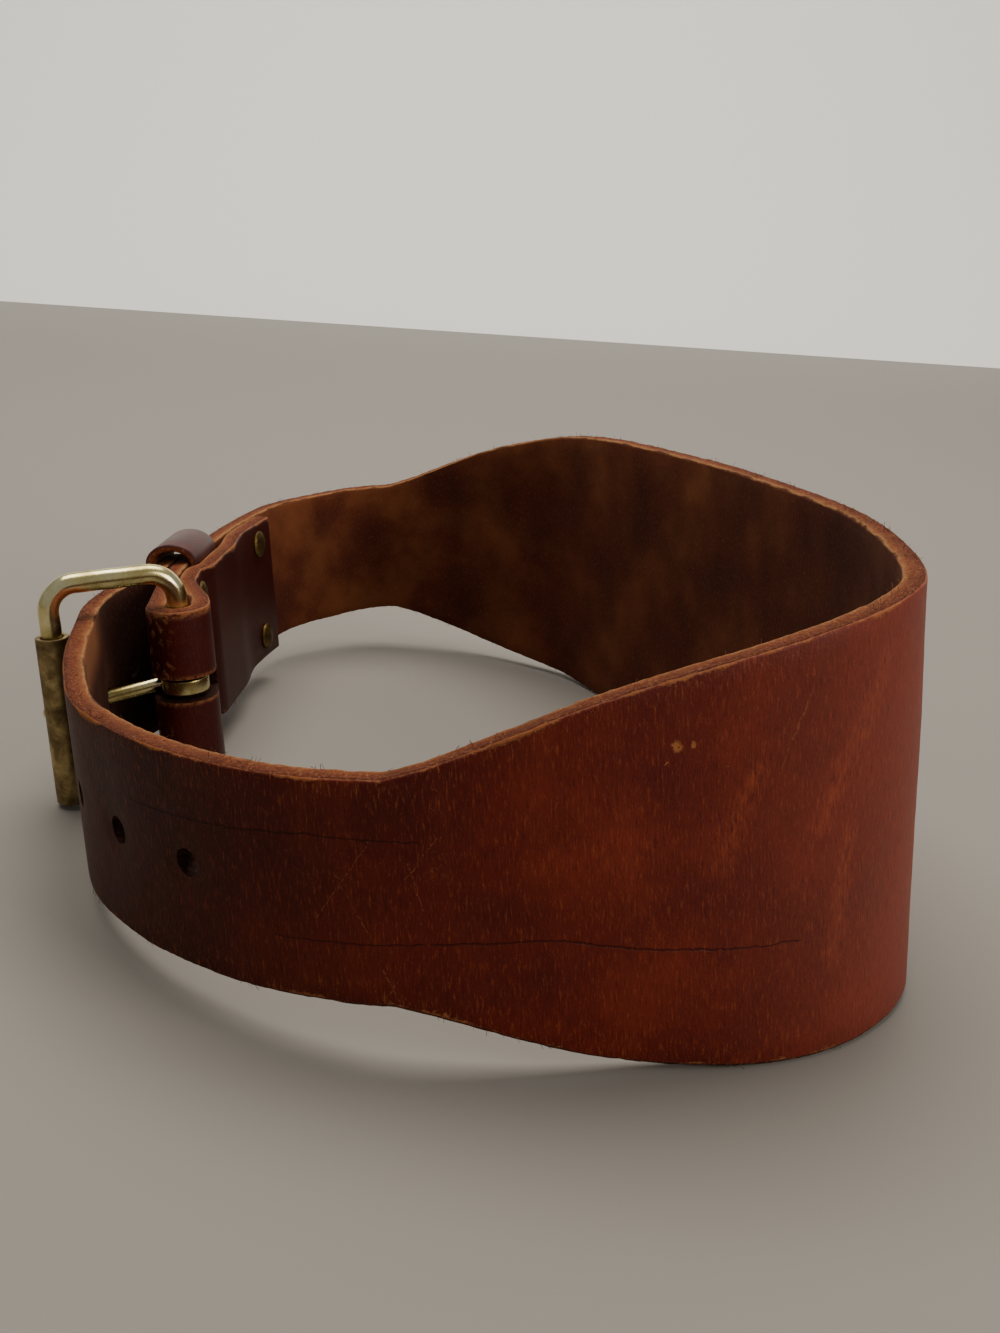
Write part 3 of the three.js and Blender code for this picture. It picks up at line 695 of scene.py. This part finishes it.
def keeper_leather():
    """Thin split cowhide with a plated, smooth finish: even brown with a soft gloss, its purple
    cast a painted mauve sheen.
    """
    material, tree = blank_material("smooth plated keeper leather")
    here = add(tree, "ShaderNodeTexCoord", pick="Object")
    cloud = add(tree, NOISE, {"Vector": here, "Scale": 1 / (9 * MM), "Detail": 5.0})
    fine = add(tree, NOISE, {"Vector": here, "Scale": 1 / (0.6 * MM), "Detail": 5.0})
    colour = add(tree, RAMP, (cloud,),
                 stops=[(0.3, "#301213"), (0.55, "#441e20"), (0.75, "#5a2e2e")])
    light = add(tree, RANGE, (fine, 0.5, 0.75, 0.0, 0.3), **SMOOTH)
    colour = add(tree, MIX, {0: light, 6: colour, 7: linear("#7d4a42")}, 2, **COLOUR)
    dull = add(tree, MATH, (cloud, 0.2, 0.3), **TIMES_PLUS)
    coat(tree, {"Base Color": colour, "Roughness": dull, "Specular IOR Level": 0.22},
         (fine, 0.3, 0.15))
    return material


def brass(name, tones, dulls, patch_mm):
    """Cast and tumbled brass: yellow metal, rubbed bright on what is handled, brown-green
    tarnish in the rest, with a fine tooth all over."""
    material, tree = blank_material(name)
    here = add(tree, "ShaderNodeTexCoord", pick="Object")
    patch = add(tree, NOISE, {"Vector": here, "Scale": 1 / (patch_mm * MM), "Detail": 5.0,
                              "Roughness": 0.6, "Distortion": 0.3})
    fine = add(tree, NOISE, {"Vector": here, "Scale": 1 / (0.5 * MM), "Detail": 4.0})
    colour = add(tree, RAMP, (patch,),
                 stops=[(0.34, tones[0]), (0.5, tones[1]), (0.68, tones[2])])
    dull = add(tree, RANGE, (patch, 0.35, 0.68, *dulls))
    dull = add(tree, MATH, (fine, 0.1, dull), **TIMES_PLUS)
    height = add(tree, MATH, (patch, 1.5, fine), **TIMES_PLUS)
    coat(tree, {"Base Color": colour, "Metallic": 1.0, "Roughness": dull}, (height, 0.1, 0.2))
    return material


grain = grain_leather()
flesh = flesh_leather()
raw = raw_edge()
punched = hole_wall()
keeper_finish = keeper_leather()
bright_brass = brass("rubbed brass", ("#ab9b60", "#d8cc92", "#f2ebc6"), (0.26, 0.11), 12)
old_brass = brass("tarnished brass", ("#64533a", "#8d7851", "#bfa972"), (0.55, 0.36), 6)
rivet_brass = brass("dulled rivet brass", ("#3c2f1a", "#5a4727", "#806a3b"), (0.62, 0.42), 3)


def leather_stations():
    """(middle, outward normal, width, distance along) of every ring of the leather: back
    along the flap to the fold, round the bar, then along the route to the tip."""
    stations = []
    fold_run = math.pi * FOLD_RADIUS
    probe = 0.5
    for along in np.linspace(FLAP_LENGTH, 0, round(FLAP_LENGTH / RING_STEP), endpoint=False):
        point, tangent, normal = ROUTE.station(along)
        rise = (flap_pitch(along + probe) - flap_pitch(along - probe)) / (2 * probe)
        outward = -(tangent * rise + normal)
        outward /= np.linalg.norm(outward)
        middle = point - normal * flap_pitch(along)
        stations.append((middle, outward, STRAP_WIDTH, -fold_run - along))
    leaving = ROUTE.station(0)[2]
    for turned in np.linspace(0, math.pi, FOLD_STEPS, endpoint=False):
        c, s = math.cos(-turned), math.sin(-turned)
        outward = np.array([[c, -s], [s, c]]) @ -leaving
        stations.append((outward * FOLD_RADIUS, outward, STRAP_WIDTH,
                         -fold_run * (1 - turned / math.pi)))
    tip = ROUTE.length - TIP_ROUNDING
    stops = list(np.linspace(0, tip, round(tip / RING_STEP), endpoint=False))
    stops += [tip + TIP_ROUNDING * math.sin(share * math.pi / 2)
              for share in np.linspace(0, 1, TIP_STEPS)]
    for along in stops:
        point, _, normal = ROUTE.station(along)
        stations.append((point, normal, leather_width(along), along))
    return stations


def leather_section():
    """Rounded section as (thickness, share of the half width, rest of the height, finish)."""
    half = LEATHER / 2 - EDGE_ROUNDING
    arc = [math.radians(a) for a in np.linspace(0, 90, CORNER_STEPS + 1)]
    shares = np.linspace(-1, 1, FACE_STEPS + 1)
    rows = [(LEATHER / 2, share, 0, GRAIN) for share in shares]
    rows += [(half + EDGE_ROUNDING * math.cos(a), 1, EDGE_ROUNDING * math.sin(a), GRAIN if a < 0.7
              else RAW) for a in arc[1:]]
    rows += [(t, 1, EDGE_ROUNDING, RAW) for t in np.linspace(half, -half, EDGE_STEPS + 1)[1:]]
    rows += [(-half - EDGE_ROUNDING * math.sin(a), 1, EDGE_ROUNDING * math.cos(a), RAW if a < 0.7
              else FLESH) for a in arc[1:]]
    rows += [(-LEATHER / 2, share, 0, FLESH) for share in shares[::-1][1:]]
    rows += [(-half - EDGE_ROUNDING * math.cos(a), -1, -EDGE_ROUNDING * math.sin(a), FLESH if a < 0.7
              else RAW) for a in arc[1:]]
    rows += [(t, -1, -EDGE_ROUNDING, RAW) for t in np.linspace(-half, half, EDGE_STEPS + 1)[1:]]
    rows += [(half + EDGE_ROUNDING * math.sin(a), -1, -EDGE_ROUNDING * math.cos(a), RAW)
             for a in arc[1:-1]]
    return rows


def beside_hole(along, height):
    """Distance to the middle of the nearest strap hole."""
    return min(math.hypot(along - hole, height - level) for hole, level in HOLES)


def dress_leather():
    """The whole leather as one closed skin, cut for holes, tongue, frame and rivets."""
    section = leather_section()
    rings, marks = [], []
    for middle, outward, width, along in leather_stations():
        ring = []
        calm = near(along, 120, 170) * near(ROUTE.length - 150 - along, 0, 40)
        for thick, share, rest, _ in section:
            height = share * (width / 2 - EDGE_ROUNDING) + rest
            swell = calm * (0.5 * ruffle(along / 38, height / 30)
                            + 0.12 * ruffle(along / 7, height / 6, 3))
            out = thick + swell
            if rest:
                nibble = 0.1 + 0.16 * calm
                height += math.copysign(1, share) * nibble * (
                    ruffle(along / 2.1, thick / 1.3, 7) + 0.35 * ruffle(along / 14, 0, 9) - 0.4)
            elif thick > 0:
                out -= 0.3 * near(beside_hole(along, height), 7.5, 3.6)
            ring.append((*(middle + outward * out), height))
            rim = near(beside_hole(along, height), 6.2, 3.6)
            marks.append((along * MM, height * MM, thick, width / 2 - abs(height),
                          rim if thick > 0 else 0))
        rings.append(ring)
    vertices, faces = skin(rings)
    kinds = [section[j][3] for _ in range(len(rings) - 1) for j in range(len(section))] + [RAW, RAW]
    belt = make_mesh("belt_leather", [(vertices, faces)], [grain, flesh, raw], kinds)
    mesh = belt.data
    uv = mesh.uv_layers.new(name="strap")
    corners = np.empty(len(mesh.loops), int)
    mesh.loops.foreach_get("vertex_index", corners)
    marks = np.array(marks)
    uv.data.foreach_set("uv", marks[corners, :2].ravel())
    for name, column in (("thick", 2), ("gap", 3), ("rim", 4)):
        mesh.attributes.new(name, "FLOAT", "POINT").data.foreach_set("value", marks[:, column])
    cut(belt, leather_tools())
    keep_above_floor(belt)
    return belt


def leather_tools():
    """Closed tools: strap holes and rivet seats, the tongue's slot, room for the frame."""
    tools = []
    radius = TONGUE_ROD / 2 + HOLE_PLAY
    for along, height in HOLES:
        point, _, normal = ROUTE.station(along)
        reach = LEATHER / 2 + TOOL_MARGIN
        tools.append(lathe([(0, -reach), (radius, -reach), (radius, reach), (0, reach)],
                           TOOL_SIDES, (*normal, 0), (*point, height)))
    for along, height in RIVETS:
        point, _, normal = ROUTE.station(along)
        seat = RIVET_HEAD / 2 + CLEARANCE
        floor = LEATHER / 2 - RIVET_BURR - CLEARANCE
        reach = LEATHER / 2 + TOOL_MARGIN
        tools.append(lathe([(0, floor), (seat, floor), (seat, reach), (0, reach)], TOOL_SIDES,
                           (*normal, 0), (*point, height)))
    outside = FOLD_RADIUS + LEATHER
    half = TONGUE_WRAP_HEIGHT / 2 + TONGUE_SLOT_PLAY
    slot = [[(x, y, TONGUE_RISE + z) for x, z in ((-outside, -half), (outside, -half),
                                                  (outside, half), (-outside, half))]
            for y in (-outside, TONGUE_SLOT_REACH)]
    return [make_mesh("hole_tool", tools, [punched]),
            make_mesh("slot_tool", [skin(slot)], [punched]),
            make_mesh("frame_tool", [frame_wire(WIRE / 2 + CLEARANCE)], [punched])]


RIVETS = [(along, side * RIVET_SPREAD / 2) for along in
          (FOLD_RIVETS_ALONG, FLAP_LENGTH - END_RIVETS_MARGIN) for side in (1, -1)]


def frame_wire(radius, dents=0.0):
    """Round wire bent to a rectangle with round corners."""
    corners = ((FRAME_REACH - FRAME_CORNER, FRAME_HIGH - FRAME_CORNER, 0),
               (FRAME_CORNER, FRAME_HIGH - FRAME_CORNER, 90),
               (FRAME_CORNER, FRAME_LOW + FRAME_CORNER, 180),
               (FRAME_REACH - FRAME_CORNER, FRAME_LOW + FRAME_CORNER, 270))
    line = []
    for arm, height, first in corners:
        for degrees in np.linspace(first, first + 90, 13):
            turn = math.radians(degrees)
            out = np.array([*(ARM * math.cos(turn)), math.sin(turn)])
            line.append((np.array([*(ARM * arm), height]) + out * FRAME_CORNER, out))
    fine = []
    for (here, out), (there, out_next) in zip(line, line[1:] + line[:1]):
        steps = max(1, round(np.linalg.norm(there - here) / 1.5))
        for share in np.linspace(0, 1, steps, endpoint=False):
            blend = out * (1 - share) + out_next * share
            fine.append((here * (1 - share) + there * share, blend / np.linalg.norm(blend)))
    front = np.array([*FRONT, 0])
    rings = []
    for centre, out in fine:
        ring = []
        for angle in np.linspace(0, 2 * math.pi, WIRE_SIDES, endpoint=False):
            away = out * math.cos(angle) - front * math.sin(angle)
            spot = centre + away * radius
            ring.append(spot + away * dents * (ruffle(*(spot / 5)) - 0.5))
        rings.append(ring)
    return skin(rings, joined=True)


def rounded(low, high, inner, outer, rounding, steps=4):
    """Closed (radius, height) profile of a band with rounded corners."""
    corners = ((outer - rounding, low + rounding, -90), (outer - rounding, high - rounding, 0),
               (inner + rounding, high - rounding, 90), (inner + rounding, low + rounding, 180))
    return [(r + rounding * math.cos(math.radians(first + turn)),
             h + rounding * math.sin(math.radians(first + turn)))
            for r, h, first in corners for turn in np.linspace(0, 90, steps + 1)]


def dress_buckle():
    """Frame, roller and tongue over their solids."""
    wire = make_mesh("buckle_frame_wire", [frame_wire(WIRE / 2, 0.12)], [bright_brass])
    length = STRAP_WIDTH + FRAME_PLAY - ROLLER_PLAY
    low = FRAME_LOW - ROLLER_DROP
    tube = rounded(low, low + length, WIRE / 2 + CLEARANCE, ROLLER_DIAMETER / 2, 0.35)
    vertices, faces = lathe(tube, LATHE_SIDES, place=(*ROLLER_AXIS, 0))
    roller = make_mesh("buckle_roller_tube", [(vertices, faces)], [old_brass])
    cut(roller, [make_mesh("notch_tool", [frame_wire(WIRE / 2 + CLEARANCE)], [old_brass])])
    half = TONGUE_WRAP_HEIGHT / 2
    inner = WIRE / 2 + CLEARANCE
    wrap = lathe(rounded(TONGUE_RISE - half, TONGUE_RISE + half, inner, inner + TONGUE_WRAP, 0.7),
                 LATHE_SIDES)
    radius = TONGUE_ROD / 2
    heel = [(radius * math.sin(a), -radius * math.cos(a)) for a in np.linspace(0, math.pi / 2, 6)]
    body = [(radius, share * (ROD_LENGTH - radius)) for share in np.linspace(0.1, 1, 12)]
    tip = [(radius * math.cos(a), ROD_LENGTH - radius + radius * math.sin(a))
           for a in np.linspace(0, math.pi / 2, 8)[1:]]
    profile = [(0 if r < 1e-6 else r, h) for r, h in heel + body + tip]
    rod = lathe(profile, 28, (*ROD, -ROD_SLOPE), (*ROD_START, TONGUE_RISE))
    tongue = make_mesh("buckle_tongue_rod", [wrap, rod], [bright_brass])
    return wire, roller, tongue


def dress_keeper():
    """Keeper as a band of thin leather with soft corners round billet and free end."""
    round_steps, side_steps = 18, 24
    section = rounded(-KEEPER_WIDTH / 2, KEEPER_WIDTH / 2, 0, KEEPER_LEATHER, 0.7)
    outside = [margin > 0.6 * KEEPER_LEATHER for margin, _ in section]
    path = [(math.pi * i / round_steps, STRAP_WIDTH / 2, 1) for i in range(round_steps + 1)]
    path += [(math.pi, STRAP_WIDTH / 2 * share, 0) for share in np.linspace(1, -1, side_steps)[1:-1]]
    path += [(math.pi * (1 - i / round_steps), -STRAP_WIDTH / 2, -1) for i in range(round_steps + 1)]
    path += [(0, STRAP_WIDTH / 2 * share, 0) for share in np.linspace(-1, 1, side_steps)[1:-1]]
    rings = []
    for turn, level, arch in path:
        ring = []
        for margin, across in section:
            inner = -LEATHER / 2 - CLEARANCE - margin
            outer = LEATHER / 2 + LAYER_PITCH + CLEARANCE + margin
            out = (inner + outer) / 2 + (outer - inner) / 2 * math.cos(turn)
            rise = (KEEPER_RISE + margin) * math.sin(turn) * arch
            spot = ROUTE.offset(KEEPER_ALONG + across, out)
            ring.append((*spot, level + rise))
        rings.append(ring)
    kinds = [0 if outside[j] and outside[(j + 1) % len(section)] else 1
             for _ in rings for j in range(len(section))]
    return make_mesh("keeper_leather", [skin(rings, joined=True)], [keeper_finish, raw], kinds)


def rivet_tree():
    """Geometry nodes: a domed head, a shank and a burr on each point, along its outward."""
    tree = bpy.data.node_groups.new("rivets", "GeometryNodeTree")
    face = tree.interface
    face.new_socket("Places", in_out="INPUT", socket_type="NodeSocketGeometry")
    for name in ("Head Radius", "Dome Height", "Shank Radius", "Burr Height"):
        face.new_socket(name, in_out="INPUT", socket_type="NodeSocketFloat")
    face.new_socket("Metal", in_out="INPUT", socket_type="NodeSocketMaterial")
    face.new_socket("Rivets", in_out="OUTPUT", socket_type="NodeSocketGeometry")
    given = tree.nodes.new("NodeGroupInput").outputs
    outward = add(tree, "GeometryNodeInputNamedAttribute", {0: "outward"},
                  data_type="FLOAT_VECTOR")
    reach = add(tree, "GeometryNodeInputNamedAttribute", {0: "reach"}, data_type="FLOAT")
    turned = add(tree, "FunctionNodeAlignRotationToVector", {"Vector": outward}, axis="Z")
    ball = add(tree, "GeometryNodeMeshUVSphere", {"Segments": 40, "Rings": 24, "Radius": 1.0})
    head_size = add(tree, "ShaderNodeCombineXYZ", {0: given["Head Radius"], 1: given["Head Radius"],
                                                   2: given["Dome Height"]})
    head = add(tree, "GeometryNodeTransform", {"Geometry": ball, "Scale": head_size})
    shank = add(tree, "GeometryNodeMeshCylinder", {"Vertices": 24, "Depth": 1.0, "Radius": 1.0})
    shank = add(tree, "GeometryNodeTransform", {"Geometry": shank, "Translation": (0, 0, 0.5)})
    shank_size = add(tree, "ShaderNodeCombineXYZ", {0: given["Shank Radius"],
                                                    1: given["Shank Radius"], 2: reach})
    plate = add(tree, "GeometryNodeMeshCylinder", {"Vertices": 40, "Depth": given["Burr Height"],
                                                   "Radius": given["Head Radius"]})
    lift = add(tree, "ShaderNodeMath", {0: given["Burr Height"], 1: -0.5}, operation="MULTIPLY")
    drop = add(tree, "ShaderNodeCombineXYZ", {2: lift})
    plate = add(tree, "GeometryNodeTransform", {"Geometry": plate, "Translation": drop})
    far = add(tree, "ShaderNodeVectorMath", {0: outward, 3: reach}, operation="SCALE")
    burr_points = add(tree, "GeometryNodeSetPosition", {"Geometry": given["Places"], "Offset": far})
    heads = add(tree, "GeometryNodeInstanceOnPoints", {"Points": given["Places"], "Instance": head,
                                                       "Rotation": turned})
    shanks = add(tree, "GeometryNodeInstanceOnPoints", {"Points": given["Places"],
                                                        "Instance": shank, "Rotation": turned,
                                                        "Scale": shank_size})
    burrs = add(tree, "GeometryNodeInstanceOnPoints", {"Points": burr_points, "Instance": plate,
                                                       "Rotation": turned})
    joined = tree.nodes.new("GeometryNodeJoinGeometry")
    for part in (heads, shanks, burrs):
        tree.links.new(part, joined.inputs[0])
    real = add(tree, "GeometryNodeRealizeInstances", {0: joined.outputs[0]})
    smooth = add(tree, "GeometryNodeSetShadeSmooth", {0: real})
    done = add(tree, "GeometryNodeSetMaterial", {0: smooth, "Material": given["Metal"]})
    tree.links.new(done, tree.nodes.new("NodeGroupOutput").inputs[0])
    return tree


def fibre_tree():
    """Geometry nodes: short bent fibres standing out of the raw edge, thicker where it frays."""
    tree = bpy.data.node_groups.new("edge_fibres", "GeometryNodeTree")
    face = tree.interface
    face.new_socket("Edge", in_out="INPUT", socket_type="NodeSocketGeometry")
    for name in ("Fibres Per Square Metre", "Fibre Radius", "Fibre Length"):
        face.new_socket(name, in_out="INPUT", socket_type="NodeSocketFloat")
    face.new_socket("Seed", in_out="INPUT", socket_type="NodeSocketInt")
    face.new_socket("Fibre", in_out="INPUT", socket_type="NodeSocketMaterial")
    face.new_socket("Fibres", in_out="OUTPUT", socket_type="NodeSocketGeometry")
    given = tree.nodes.new("NodeGroupInput").outputs
    frayed = add(tree, "ShaderNodeTexNoise", {"Scale": 1 / (14 * MM), "Detail": 2.0})
    frayed = add(tree, RANGE, (frayed, 0.42, 0.68), **SMOOTH)
    crowd = add(tree, MATH, (given["Fibres Per Square Metre"], frayed), operation="MULTIPLY")
    points = tree.nodes.new("GeometryNodeDistributePointsOnFaces")
    for socket, value in ((points.inputs["Mesh"], given["Edge"]),
                          (points.inputs["Density"], crowd), (points.inputs["Seed"], given["Seed"])):
        tree.links.new(value, socket)
    half = add(tree, MATH, (given["Fibre Length"], 0.5), operation="MULTIPLY")
    aside = add(tree, MATH, (half, 0.35), operation="MULTIPLY")
    middle = add(tree, "ShaderNodeCombineXYZ", {0: aside, 2: half})
    end = add(tree, "ShaderNodeCombineXYZ", {0: half, 2: given["Fibre Length"]})
    hair = add(tree, "GeometryNodeCurveQuadraticBezier", {"Resolution": 3, "Start": (0, 0, 0),
                                                          "Middle": middle, "End": end})
    wire = add(tree, "GeometryNodeCurvePrimitiveCircle", {"Resolution": 3,
                                                          "Radius": given["Fibre Radius"]})
    hair = add(tree, "GeometryNodeCurveToMesh", {"Curve": hair, "Profile Curve": wire,
                                                 "Fill Caps": True})
    tilt = add(tree, "FunctionNodeRandomValue", {0: (-1.2, -1.2, -3.1), 1: (1.2, 1.2, 3.1),
                                                 "Seed": given["Seed"]}, data_type="FLOAT_VECTOR")
    turned = add(tree, "FunctionNodeRotateRotation",
                 {0: points.outputs["Rotation"],
                  1: add(tree, "FunctionNodeEulerToRotation", {0: tilt})}, rotation_space="LOCAL")
    size = add(tree, "FunctionNodeRandomValue", {2: 0.35, 3: 1.3, "Seed": given["Seed"]}, 1,
               data_type="FLOAT")
    hairs = add(tree, "GeometryNodeInstanceOnPoints", {"Points": points.outputs["Points"],
                                                       "Instance": hair, "Rotation": turned,
                                                       "Scale": size})
    real = add(tree, "GeometryNodeRealizeInstances", {0: hairs})
    done = add(tree, "GeometryNodeSetMaterial", {0: real, "Material": given["Fibre"]})
    tree.links.new(done, tree.nodes.new("NodeGroupOutput").inputs[0])
    return tree


def grow(piece, tree, values):
    """Runs a geometry node tree on a piece and keeps the result as a plain mesh."""
    grown = piece.modifiers.new("grown", "NODES")
    grown.node_group = tree
    sockets = {item.name: item.identifier for item in tree.interface.items_tree
               if item.in_out == "INPUT"}
    for name, value in values.items():
        grown[sockets[name]] = value
    settle(piece)


def dress_rivets():
    """Four rivets: domed heads on the flap, flat burrs let into the billet's outer face."""
    places, outwards, reaches = [], [], []
    for along, height in RIVETS:
        point, _, normal = ROUTE.station(along)
        head_floor = -flap_pitch(along) - LEATHER / 2 - CLEARANCE
        places.append((*(point + normal * head_floor), height))
        outwards.append(TURN @ np.array([*normal, 0]))
        reaches.append((LEATHER / 2 - head_floor) * MM)
    rivets = make_mesh("rivets", [(places, [])], [rivet_brass])
    mesh = rivets.data
    mesh.attributes.new("outward", "FLOAT_VECTOR", "POINT").data.foreach_set(
        "vector", np.array(outwards).ravel())
    mesh.attributes.new("reach", "FLOAT", "POINT").data.foreach_set("value", reaches)
    grow(rivets, rivet_tree(), {
        "Head Radius": RIVET_HEAD / 2 * MM, "Dome Height": RIVET_DOME * MM,
        "Shank Radius": RIVET_SHANK / 2 * MM, "Burr Height": RIVET_BURR * MM,
        "Metal": rivet_brass})
    rivets.data.set_sharp_from_angle(angle=SHARP_ANGLE)
    return rivets


def dress_fibres(leather):
    """Loose fibres on the leather's raw edges."""
    shell = bmesh.new()
    shell.from_mesh(leather.data)
    bmesh.ops.delete(shell, geom=[f for f in shell.faces if f.material_index != RAW],
                     context="FACES")
    mesh = bpy.data.meshes.new("edge_fibres")
    shell.to_mesh(mesh)
    shell.free()
    fibres = bpy.data.objects.new("edge_fibres", mesh)
    bpy.context.scene.collection.objects.link(fibres)
    grow(fibres, fibre_tree(), {
        "Fibres Per Square Metre": 6.5e5, "Fibre Radius": 0.045 * MM, "Fibre Length": 1.1 * MM,
        "Seed": 4, "Fibre": raw})
    keep_above_floor(fibres)
    return fibres


leather = dress_leather()
wire, roller, tongue = dress_buckle()
keeper = dress_keeper()
rivets = dress_rivets()
fibres = dress_fibres(leather)

for piece, slot_name, nodes in (
        (leather, "belt_leather", ["belt"]), (keeper, "keeper_leather", ["keeper_loop"]),
        (wire, "brass", ["buckle_frame"]), (roller, "tarnished_brass", ["buckle_roller"]),
        (tongue, "brass", ["buckle_tongue"]),
        (rivets, "brass", ["rivet_fold_upper", "rivet_fold_lower", "rivet_end_upper",
                           "rivet_end_lower"]),
        (fibres, "belt_leather", [])):
    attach(piece, "root")
    if nodes:
        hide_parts(*nodes)


# Camera of the photo's viewing angle, as it stands to the belt's own plan, mm and degrees
CAMERA_PLACE = (93, -405, 131.704)
CAMERA_PITCH = 17.67
CAMERA_ROLL = 2.18
FOCAL_PIXELS = 1439
FRAME_HEIGHT_PIXELS = 1333
SENSOR = 36


def place_camera():
    pitch, roll = math.radians(CAMERA_PITCH), math.radians(CAMERA_ROLL)
    forward = Vector((0, math.cos(pitch), -math.sin(pitch)))
    level = Vector((1, 0, 0))
    down = Vector((0, -math.sin(pitch), -math.cos(pitch)))
    right = level * math.cos(roll) + down * math.sin(roll)
    up = level * math.sin(roll) - down * math.cos(roll)
    turn = Matrix(TURN.tolist()) @ Matrix((right, up, -forward)).transposed()
    data = bpy.data.cameras.new("camera")
    data.sensor_fit = "VERTICAL"
    data.sensor_height = SENSOR
    data.lens = FOCAL_PIXELS / FRAME_HEIGHT_PIXELS * SENSOR
    data.clip_start = 0.01
    camera = bpy.data.objects.new("camera", data)
    camera.matrix_world = Matrix.Translation(Vector(stand([CAMERA_PLACE])[0])) @ turn.to_4x4()
    bpy.context.scene.collection.objects.link(camera)
    bpy.context.scene.camera = camera


def add_light(name, place, target, size, power, colour):
    data = bpy.data.lights.new(name, "AREA")
    data.shape = "RECTANGLE"
    data.size, data.size_y = size
    data.energy = power
    data.color = linear(colour)[:3]
    lamp = bpy.data.objects.new(name, data)
    lamp.location = place
    lamp.rotation_euler = (Vector(target) - Vector(place)).to_track_quat("-Z", "Y").to_euler()
    bpy.context.scene.collection.objects.link(lamp)


def make_studio():
    """Grey floor curved up into a bright backdrop with its own light, a broad soft light
    above and one in front."""
    paints = []
    for name, colour, dull in (("matt grey studio floor", "#8d8983", 0.75),
                               ("matt white backdrop", "#f0efeb", 0.9)):
        paint, tree = blank_material(name)
        coat(tree, {"Base Color": linear(colour), "Roughness": dull})
        paints.append(paint)
    bend = [(6 * math.sin(math.radians(a)), 6 - 6 * math.cos(math.radians(a)))
            for a in np.linspace(0, 85, 18)]
    line = [(-6, 0), (2.2, 0)] + [(2.2 + y * 0.3, z * 0.3) for y, z in bend[1:]] + [(4.2, 6)]
    vertices = [(x, y, z) for y, z in line for x in (-7, 7)]
    faces = [(2 * i, 2 * i + 1, 2 * i + 3, 2 * i + 2) for i in range(len(line) - 1)]
    mesh = bpy.data.meshes.new("floor")
    mesh.from_pydata(vertices, [], faces)
    for paint in paints:
        mesh.materials.append(paint)
    mesh.polygons.foreach_set("material_index", [0] + [1] * (len(faces) - 1))
    mesh.shade_smooth()
    floor = bpy.data.objects.new("floor", mesh)
    bpy.context.scene.collection.objects.link(floor)
    add_light("overhead", (-0.1, 0.35, 1.5), (0, 0, 0), (1.4, 1.0), 26, "#fff6ea")
    add_light("front_right", (1.3, -0.9, 0.75), (0, 0, 0.05), (0.8, 0.8), 13, "#fff3e6")
    add_light("backdrop_wash", (0, 1.8, 2.2), (0, 3.6, 0.9), (5, 0.6), 90, "#fff8ee")
    world = bpy.data.worlds.new("studio")
    world.use_nodes = True
    backdrop = world.node_tree.nodes["Background"]
    backdrop.inputs["Color"].default_value = linear("#e6e4e0")
    backdrop.inputs["Strength"].default_value = 0.34
    bpy.context.scene.world = world


place_camera()
make_studio()
